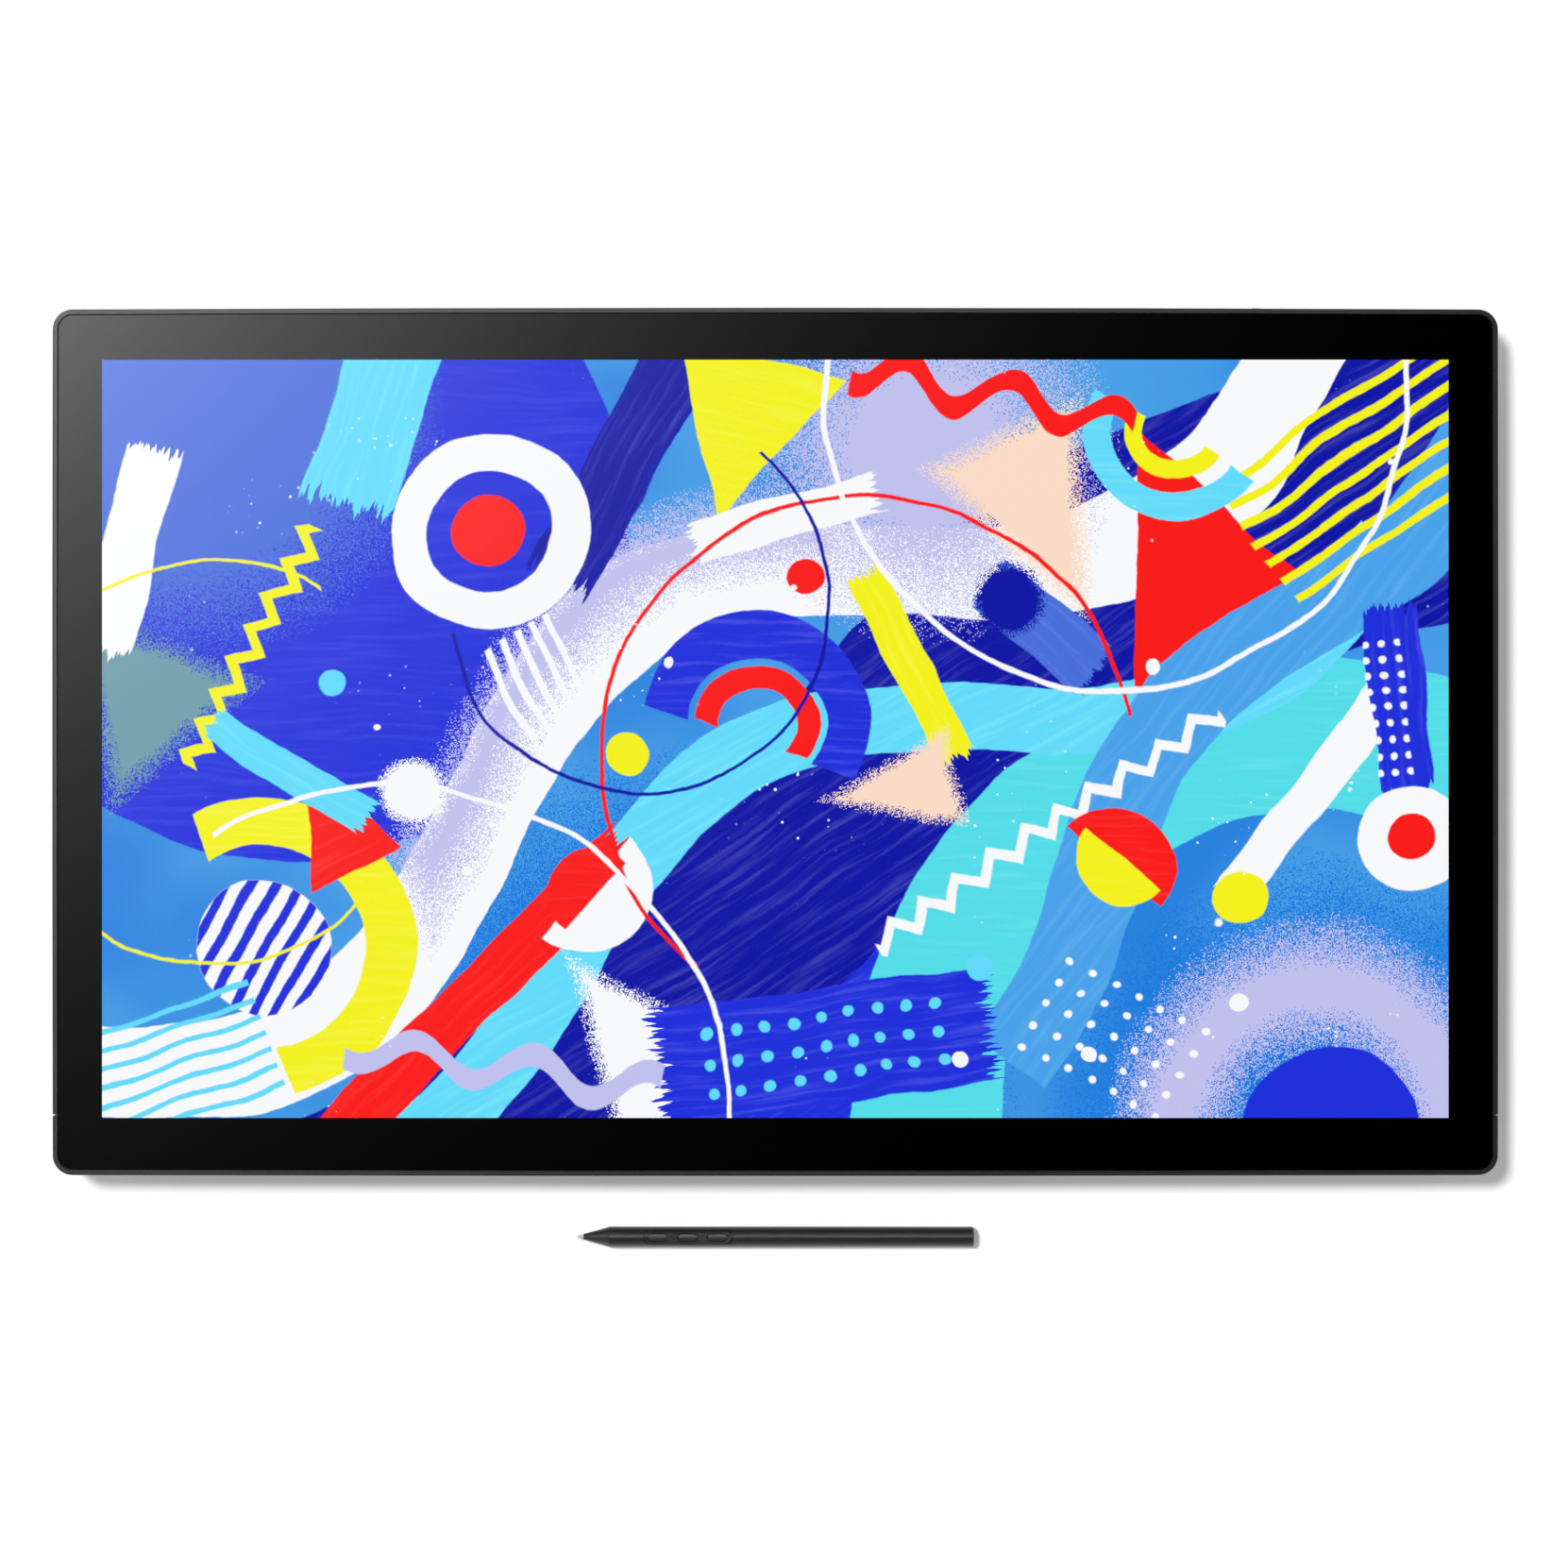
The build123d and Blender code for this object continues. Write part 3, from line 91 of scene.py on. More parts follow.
class Finish:
    # one material or world, and the only place where its nodes are made
    def __init__(self, name, owner=None):
        self.material = owner or bpy.data.materials.new(name)
        self.material.use_nodes = True
        self.tree = self.material.node_tree
        self.tree.nodes.clear()

    def node(self, kind, settings=None, inputs=None, output=0):
        made = self.tree.nodes.new("ShaderNode" + kind)
        for name, value in (settings or {}).items():
            setattr(made, name, value)
        for name, value in (inputs or {}).items():
            socket = made.inputs[name]
            if isinstance(value, Value):
                self.tree.links.new(value.socket, socket)
            elif socket.type == "RGBA":
                socket.default_value = (*value, 1)
            else:
                socket.default_value = value
        return Value(self, made.outputs[output]) if made.outputs else made

    def math(self, operation, *values):
        return self.node("Math", {"operation": operation}, dict(enumerate(values)))

    def vector(self, operation, *values):
        return self.node("VectorMath", {"operation": operation}, dict(enumerate(values)))

    def measure(self, operation, *values):
        # a vector operation whose answer is one number
        return self.node("VectorMath", {"operation": operation}, dict(enumerate(values)), "Value")

    def scaled(self, vector, by):
        return self.node("VectorMath", {"operation": "SCALE"}, {0: vector, "Scale": by})

    def part(self, vector, axis):
        return self.node("SeparateXYZ", {}, {0: vector}, axis)

    def channel(self, colour, name):
        return self.node("SeparateColor", {}, {"Color": colour}, name)

    def mix(self, factor, first, second):
        return self.node("Mix", {"data_type": "RGBA"}, {0: factor, 6: first, 7: second}, 2)

    def ease(self, value, low, high):
        # 0 below low, 1 above high, smooth between them
        settings = {"interpolation_type": "SMOOTHSTEP"}
        return self.node("MapRange", settings, {"Value": value, "From Min": low, "From Max": high})

    def place(self, stretch=(1, 1, 1)):
        # the piece's own coordinates, in metres times stretch
        spot = self.node("TexCoord", output="Object")
        return self.node("Mapping", {}, {"Vector": spot, "Scale": stretch})

    def noise(self, where, scale, detail=2.0, rough=0.5):
        inputs = {"Vector": where, "Scale": scale, "Detail": detail, "Roughness": rough}
        return self.node("TexNoise", {}, inputs)

    def bump(self, height, depth):
        return self.node("Bump", {}, {"Height": height, "Distance": depth})

    def surface(self, inputs):
        self.node("OutputMaterial", {}, {"Surface": self.node("BsdfPrincipled", {}, inputs)})
        return self.material


def paint(red, green, blue):
    # a colour as a colour picker shows it, made linear
    return tuple(
        part / 12.92 if part <= 0.04045 else ((part + 0.055) / 1.055) ** 2.4
        for part in (red / 255, green / 255, blue / 255)
    )


def shade(colour, by):
    return tuple(min(1.0, part * by) for part in colour)


def dress(material, *names):
    # a CAD piece keeps its mesh and gets a finish
    for name in names:
        piece = cad[name]
        if not piece.material_slots:
            piece.data.materials.append(material)
        for slot in piece.material_slots:
            slot.material = material


# camera: straight above, as the picture was taken
viewSet = {
    "spot": (0.00385, -0.01862),  # the point it stands above
    "glass": 0.0295,
    "away": 2.2,  # how far it is above the glass
    "span": 0.693,  # width of the view at the glass
    "film": 36.0,
    "clip": 20.0,
}
cameraData = bpy.data.cameras.new("camera")
cameraData.sensor_width = viewSet["film"]
cameraData.lens = viewSet["film"] * viewSet["away"] / viewSet["span"]
cameraData.clip_end = viewSet["clip"]
camera = bpy.data.objects.new("camera", cameraData)
camera.location = (*viewSet["spot"], viewSet["glass"] + viewSet["away"])
bpy.context.scene.collection.objects.link(camera)
bpy.context.scene.camera = camera
bpy.context.scene.view_settings.view_transform = "Standard"

# floor, sky and lamp
studio = {
    "floorZ": -0.0015,
    "floorSize": 12.0,
    "floorColour": (0.84, 0.84, 0.84),
    "floorLift": 0.262,  # light added to the paper where it is seen or mirrored
    "skyEdge": 0.88,
    "skyTop": 0.004,
    "skyLean": 0.75,  # how much brighter the sky's edge is on the lamp's side
    "skyFade": (0.05, 0.9),  # heights between which the edge gives way to the top
    "sunWay": (0.34, -0.262, -1.0),
    "sunAngle": 10.5,
    "sunPower": 2.75,
    "glowWay": (-0.28, 0.25, 1.0),  # where the soft glow stands that shows in the glass
    "glowPeak": 14.5,
    "glowSpread": 0.106,
}

floorMesh = bpy.data.meshes.new("floor")
builder = bmesh.new()
bmesh.ops.create_grid(builder, x_segments=1, y_segments=1, size=studio["floorSize"] / 2)
builder.to_mesh(floorMesh)
builder.free()
floor = bpy.data.objects.new("floor", floorMesh)
floor.location = (0, 0, studio["floorZ"])
bpy.context.scene.collection.objects.link(floor)
floor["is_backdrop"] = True

floorFinish = Finish("floor_paper")
seen = floorFinish.node("LightPath", output="Is Camera Ray")
mirrored = floorFinish.node("LightPath", output="Is Glossy Ray")
through = floorFinish.node("LightPath", output="Is Transmission Ray")
lift = floorFinish.math("MINIMUM", seen + mirrored + through, 1.0) * studio["floorLift"]
paper = floorFinish.node("BsdfDiffuse", {}, {"Color": studio["floorColour"]})
glow = floorFinish.node("Emission", {}, {"Color": (1, 1, 1), "Strength": lift})
both = floorFinish.node("AddShader", {}, {0: paper, 1: glow})
floorFinish.node("OutputMaterial", {}, {"Surface": both})
floor.data.materials.append(floorFinish.material)

world = bpy.data.worlds.new("studio")
bpy.context.scene.world = world
sky = Finish("studio", world)
way = sky.node("TexCoord", output="Generated")
height = sky.part(way, "Z")
direct = sky.node("LightPath", output="Is Camera Ray")
fade = sky.ease(height, *studio["skyFade"])
sunSide = (-Vector(studio["sunWay"])).normalized()
glowSide = Vector(studio["glowWay"]).normalized()
lean = sky.measure("DOT_PRODUCT", way, (sunSide.x, sunSide.y, 0))
lean = 1 + lean * (studio["skyLean"] / math.hypot(sunSide.x, sunSide.y))
off = sky.measure("DISTANCE", way, glowSide)
glare = sky.math("EXPONENT", off * off * (-0.5 / studio["glowSpread"] ** 2)) * studio["glowPeak"]
glare = glare * sky.node("LightPath", output="Is Glossy Ray")
level = lean * studio["skyEdge"]
level = level + fade * (studio["skyTop"] - level) + glare
level = sky.math("MAXIMUM", direct, level)
backdrop = sky.node("Background", {}, {"Color": (1, 1, 1), "Strength": level})
sky.node("OutputWorld", {}, {"Surface": backdrop})

sunData = bpy.data.lights.new("sun", "SUN")
sunData.energy = studio["sunPower"]
sunData.angle = math.radians(studio["sunAngle"])
sun = bpy.data.objects.new("sun", sunData)
sun.rotation_euler = Vector(studio["sunWay"]).to_track_quat("-Z", "Y").to_euler()
sun.visible_glossy = False  # the soft glow in the sky stands for it in reflections
bpy.context.scene.collection.objects.link(sun)
print("camera, floor and lamp placed")


# general finishes for the rigid pieces
mouldSet = {
    "shades": (0.8, 1.2),
    "cloudDetail": 3,
    "grainDetail": 2,
    "grainRough": 0.6,
    "rubScale": 3.7,
    "rubDetail": 4,
    "rubRange": (0.52, 0.75),
    "rubShade": 1.9,
    "cloudGloss": 0.12,
    "grainGloss": 0.15,
}


def moulded(name, look):
    # plastic with the fine spark texture of its mould, and slightly uneven gloss
    finish = Finish(name)
    where = finish.place()
    cloud = finish.noise(where, look["cloud"], mouldSet["cloudDetail"])
    grain = finish.noise(where, look["grain"], mouldSet["grainDetail"], mouldSet["grainRough"])
    worn = finish.noise(where, look["cloud"] * mouldSet["rubScale"], mouldSet["rubDetail"])
    rub = finish.ease(worn, *mouldSet["rubRange"])
    colour = finish.mix(cloud, *(shade(look["colour"], by) for by in mouldSet["shades"]))
    rubbed = shade(look["colour"], mouldSet["rubShade"])
    gloss = (cloud - 0.5) * mouldSet["cloudGloss"] + (grain - 0.5) * mouldSet["grainGloss"]
    return finish.surface(
        {
            "Base Color": finish.mix(rub * look["rub"], colour, rubbed),
            "Roughness": look["rough"] + gloss,
            "Specular IOR Level": look["gloss"],
            "Normal": finish.bump(grain, look["depth"]),
        }
    )


metalSet = {
    "shades": (0.86, 1.14),
    "detail": 3,
    "grainRough": 0.65,
    "grainShade": 1.35,
    "grainShare": 0.3,
    "grainGloss": 0.14,
    "cloudGloss": 0.06,
    # black of the painted shade in the groove and on the inward faces, and which faces get it
    "grooveShade": (0.0005, 0.0005, 0.0005),
    "grooveShadeUp": 0.7,
    "grooveShadeInward": -0.01,
}


def metal(name, look, shadeBelow=None):
    # blasted or drawn metal: grain is stretched along X where it is drawn
    # painted shade: where a height is given, faces that look inward are painted black as shade, and so are
    # those that look up below that height
    finish = Finish(name)
    where = finish.place(look["stretch"])
    cloud = finish.noise(finish.place(), look["cloud"], metalSet["detail"])
    grain = finish.noise(where, look["grain"], metalSet["detail"], metalSet["grainRough"])
    colour = finish.mix(cloud, *(shade(look["colour"], by) for by in metalSet["shades"]))
    bright = shade(look["colour"], metalSet["grainShade"])
    colour = finish.mix(grain * metalSet["grainShare"], colour, bright)
    metalness = look["metal"]
    if shadeBelow:
        spot = finish.place()
        face = finish.node("NewGeometry", output="True Normal")
        low = finish.math("LESS_THAN", finish.part(spot, "Z"), shadeBelow)
        upward = finish.math("GREATER_THAN", finish.part(face, "Z"), metalSet["grooveShadeUp"])
        outward = finish.measure("DOT_PRODUCT", spot, face)
        inner = finish.math("LESS_THAN", outward, metalSet["grooveShadeInward"])
        # painted shade: the mask that blacks out the groove round the glass and the inward faces
        grooveShade = finish.math("MAXIMUM", low * upward, inner)
        colour = finish.mix(grooveShade, colour, metalSet["grooveShade"])
        metalness = metalness * (1 - grooveShade)
    gloss = (grain - 0.5) * metalSet["grainGloss"] + (cloud - 0.5) * metalSet["cloudGloss"]
    return finish.surface(
        {
            "Base Color": colour,
            "Metallic": metalness,
            "Roughness": look["rough"] + gloss,
            "Normal": finish.bump(grain, look["depth"]),
        }
    )


# frame round the glass: satin dark grey coat over metal, and the brass inserts
frameLook = {
    "colour": paint(70, 70, 71),
    "metal": 0.85,
    "rough": 0.3,
    "cloud": 9.0,
    "grain": 2600.0,
    "stretch": (1, 1, 1),
    "depth": 0.00002,
}
grooveTop = 0.0286  # below this height the ledge round the glass is painted black, as shade in the groove
dress(metal("frame_coat", frameLook, grooveTop), "frame_upper", "frame_lower")

insertLook = dict(frameLook, colour=paint(150, 140, 105), metal=1.0, stretch=(1, 6, 6))
dress(metal("turned_brass", insertLook), "accessory_inserts")

# cover glass: clear, finely etched, with a dark print behind its edge
glassLook = {
    "straight": 0.05,  # how much it mirrors seen straight on
    "bend": 1.577,
    "rough": 0.075,
    "power": 5.0,
    "grazing": 0.9,  # and seen from the side
    "tooth": 0.02,
    "toothScale": 900.0,
    "print": 0.0001,
    "window": (0.29755, 0.16765, 0.00135),  # half its width and height, and its middle's Y
}
glassFinish = Finish("etched_glass")
tooth = glassFinish.noise(glassFinish.place(), glassLook["toothScale"])
facing = glassFinish.node("LayerWeight", {}, {"Blend": 0.5}, "Facing")
inside = glassFinish.node("NewGeometry", output="Backfacing")
mirror = facing ** glassLook["power"] * (glassLook["grazing"] - glassLook["straight"])
mirror = glassLook["straight"] + mirror
across = glassFinish.part(glassFinish.place(), "X")
along = glassFinish.part(glassFinish.place(), "Y")
halfX, halfY, middleY = glassLook["window"]
past = glassFinish.math("MAXIMUM", abs(across) - halfX, abs(along - middleY) - halfY)
printed = glassFinish.math("GREATER_THAN", past, 0.0)
mirror = glassFinish.math("MAXIMUM", mirror, printed)
coat = glassFinish.node(
    "BsdfPrincipled",
    {},
    {
        "Base Color": glassFinish.mix(printed, (1, 1, 1), (glassLook["print"],) * 3),
        "Metallic": 1 - printed,
        "Roughness": glassLook["rough"] + (tooth - 0.5) * glassLook["tooth"],
        "IOR": glassLook["bend"],
    },
)
clear = glassFinish.node("BsdfTransparent", {}, {"Color": (1, 1, 1)})
pane = glassFinish.node("MixShader", {}, {0: mirror * (1 - inside), 1: clear, 2: coat})
glassFinish.node("OutputMaterial", {}, {"Surface": pane})
dress(glassFinish.material, "cover_glass")

maskLook = {
    "shades": ((0.00024, 0.00024, 0.00024), (0.00056, 0.00056, 0.00056)),
    "rough": 0.6,
    "uneven": 0.1,
    "gloss": 0.0,
    "grain": 1500.0,
}
maskFinish = Finish("black_print")
speck = maskFinish.noise(maskFinish.place(), maskLook["grain"])
dress(
    maskFinish.surface(
        {
            "Base Color": maskFinish.mix(speck, *maskLook["shades"]),
            "Roughness": maskLook["rough"] + (speck - 0.5) * maskLook["uneven"],
            "Specular IOR Level": maskLook["gloss"],
        }
    ),
    "border_mask",
)

# rear shell, electronics cover, and the other plastics and rubber
shellLook = {
    "colour": paint(38, 39, 41),
    "rough": 0.55,
    "gloss": 0.4,
    "cloud": 14.0,
    "grain": 1400.0,
    "depth": 0.00009,
    "rub": 0.08,
}
dress(moulded("shell_texture", shellLook), "rear_shell")
coverLook = dict(shellLook, colour=paint(34, 35, 37), grain=1000.0, depth=0.00012, rough=0.6)
dress(moulded("cover_texture", coverLook), "electronics_cover")
footLook = dict(shellLook, colour=paint(30, 30, 31), rough=0.85, gloss=0.25, grain=900.0, rub=0.2)
dress(moulded("foot_rubber", footLook), "rubber_feet")
keyLook = dict(
    shellLook,
    colour=paint(44, 45, 48),
    rough=0.4,
    gloss=0.5,
    grain=3000.0,
    depth=0.00002,
)
keyNames = [f"shortcut_key_{side}_{row}" for side in ("left", "right") for row in range(1, 5)]
dress(moulded("key_plastic", keyLook), "power_button", "touch_switch", *keyNames)
fanLook = dict(
    shellLook,
    colour=paint(26, 26, 28),
    rough=0.35,
    gloss=0.5,
    grain=1200.0,
    depth=0.00002,
)
dress(moulded("fan_plastic", fanLook), "fan_cases", "fan_rotor_left", "fan_rotor_right")
cableLook = dict(
    shellLook,
    colour=paint(150, 95, 40),
    rough=0.35,
    gloss=0.5,
    grain=600.0,
    depth=0.00001,
)
dress(moulded("cable_film", cableLook), "panel_cables")
chipLook = dict(shellLook, colour=paint(30, 30, 32), rough=0.5, grain=2600.0)
dress(moulded("chip_resin", chipLook), "board_chips", "power_parts")

# bare and plated metals
plateLook = {
    "colour": paint(188, 190, 192),
    "metal": 1.0,
    "rough": 0.36,
    "cloud": 12.0,
    "grain": 420.0,
    "stretch": (0.08, 1, 1),
    "depth": 0.00001,
}
bareNames = ("chassis_plate", "backlight_tray", "shield_plate", "fin_stacks", "heat_spreader")
dress(metal("drawn_aluminium", plateLook), *bareNames)
steelLook = dict(plateLook, colour=paint(150, 151, 153), rough=0.3, grain=900.0, stretch=(1, 1, 1))
steelNames = ("arm_bracket", "board_screws", "signal_sockets", "power_socket")
dress(metal("plated_steel", steelLook), *steelNames)
screwLook = dict(steelLook, colour=paint(60, 60, 62), rough=0.38)
dress(metal("black_screws", screwLook), "shell_screws", "cover_screws")
pipeLook = dict(plateLook, colour=paint(196, 120, 84), rough=0.28, stretch=(1, 1, 1), grain=700.0)
dress(metal("copper", pipeLook), "heat_pipe")

# circuit boards: lacquer over tracks, green or black
boardLook = {
    "lacquer": paint(18, 84, 52),
    "covered": paint(48, 132, 84),
    "gold": paint(196, 164, 92),
    "pitch": 0.0026,
    "patch": 60.0,
    "track": 0.0005,
    "trackEdge": (0.4, 0.6),
    "pad": 0.0004,
    "padEdge": (0.8, 1.2),
    "rough": 0.35,
    "trackRough": 0.1,
    "depth": 0.00003,
}


def circuit(name, look):
    # lacquer over tracks in a grid, with small pads where they cross
    finish = Finish(name)
    flat = finish.place()
    pick = finish.math("GREATER_THAN", finish.noise(flat, look["patch"], 0), 0.5)
    pitch = look["pitch"]
    sides = (finish.part(flat, axis) for axis in ("X", "Y"))
    first, second = (abs(finish.math("WRAP", side, pitch / 2, -pitch / 2)) for side in sides)
    line = first * pick + second * (1 - pick)
    track = 1 - finish.ease(line, *(look["track"] * by for by in look["trackEdge"]))
    middle = finish.math("SQRT", first * first + second * second)
    pad = 1 - finish.ease(middle, *(look["pad"] * by for by in look["padEdge"]))
    colour = finish.mix(track, look["lacquer"], look["covered"])
    return finish.surface(
        {
            "Base Color": finish.mix(pad, colour, look["gold"]),
            "Roughness": look["rough"] + track * look["trackRough"],
            "Normal": finish.bump(track, look["depth"]),
        }
    )


boardNames = ("main_board", "power_board", "driver_board", "key_boards", "sensor_board")
dress(circuit("board_lacquer", boardLook), *boardNames)
blackInks = {"lacquer": paint(14, 15, 16), "covered": paint(24, 26, 28)}
blackBoardLook = dict(boardLook, **blackInks, pitch=0.0013, track=0.0003)
dress(circuit("black_board_lacquer", blackBoardLook), "pen_board", "switch_board")

# panel stack under the glass
sheetLook = {
    "colour": paint(226, 228, 230),
    "rough": 0.4,
    "gloss": 0.5,
    "cloud": 20.0,
    "grain": 1500.0,
    "depth": 0.00001,
    "rub": 0.0,
}
dress(moulded("white_films", sheetLook), "diffuser_films", "reflector_sheet", "led_bar")
guideLook = dict(sheetLook, colour=paint(206, 220, 222), rough=0.12, grain=300.0)
dress(moulded("guide_acrylic", guideLook), "light_guide")
lcdLook = dict(sheetLook, colour=paint(22, 24, 28), rough=0.15, grain=2400.0)
dress(moulded("panel_glass", lcdLook), "lcd_panel")
print("finishes given to the display")

# pen
penLook = {
    "colour": paint(35, 35, 36),
    "rough": 0.37,
    "gloss": 0.75,
    "cloud": 60.0,
    "grain": 3800.0,
    "depth": 0.00003,
    "rub": 0.05,
}
dress(moulded("pen_plastic", penLook), "pen_cone", "pen_tail", "pen_end_cap", "pen_switch_plate")
gripLook = dict(penLook, rough=0.39, grain=2400.0, depth=0.00004)
dress(moulded("pen_grip", gripLook), "pen_grip")
switchLook = dict(penLook, colour=paint(46, 46, 48), rough=0.34)
dress(moulded("pen_switch", switchLook), "pen_switch_1", "pen_switch_2", "pen_switch_3")
nibLook = dict(penLook, colour=paint(206, 206, 204), rough=0.5, cloud=300.0, rub=0.0)
dress(moulded("pen_nib", nibLook), "pen_nib")
coilLook = dict(pipeLook, grain=1800.0, stretch=(4, 1, 1))
dress(metal("pen_winding", coilLook), "pen_coil")
dress(metal("pen_sensor_case", steelLook), "pen_pressure_sensor")
print("finishes given to the pen")

# picture on the screen: thin lit slabs in the window of the black print
perMetre = 1000  # millimetres
pictureSet = {
    "low": 0.02821,
    "high": 0.02836,
    "centre": (0.0, 0.00135),
    "size": (0.596, 0.3353),
    "columns": 3,
    "strip": 0.985,  # share of the UV map that the top takes, the sides share the rest
    "sides": (0.3, 0.6),  # where in that rest they start, and how far they go
    "sway": 6.0,  # room left beside each shape for the bends
    "bends": {
        "warp": {"scale": 0.02, "detail": 1, "by": 8.8},
        "shake": {"scale": 0.2, "detail": 2, "by": 1.0},
    },
    "grainCell": 0.45,
    "edge": 0.45,
    "drift": {"scale": 0.008, "low": 0.35, "high": 0.65},
    "slant": 0.72,  # from height to thickness on the slopes of a zigzag
    "ragged": {"along": 0.012, "across": 0.55, "detail": 3},
    "streak": {"along": 0.02, "across": 0.35, "detail": 3},
    "streakRange": (0.45, 0.75),
    "streakLift": 0.12,
    "streakShade": 1.25,
    "panel": (0.004, 0.004, 0.004),
    "rough": 0.5,
    "lit": 1.0,
    "ground": (paint(74, 163, 235), paint(38, 132, 226)),
    "confetti": {
        "cell": 30.0,
        "loose": 0.8,
        "radius": 3.1,
        "least": 0.35,
        "share": 0.42,
        "edge": 0.3,
        "inks": ("white", "cyan"),
    },
    "specks": {
        "cell": 3.4,
        "radius": 0.72,
        "edge": 0.1,
        "patch": 0.014,
        "low": 0.56,
        "high": 0.66,
    },
}
inks = {
    "sky": paint(74, 164, 238),
    "deep": paint(20, 124, 226),
    "royal": paint(28, 46, 222),
    "navy": paint(6, 16, 168),
    "cyan": paint(100, 222, 255),
    "turquoise": paint(84, 224, 236),
    "slate": paint(72, 112, 222),
    "white": paint(252, 253, 255),
    "red": paint(255, 24, 22),
    "yellow": paint(248, 246, 24),
    "peach": paint(255, 224, 202),
    "grey": paint(112, 160, 172),
    "lavender": paint(196, 196, 242),
}
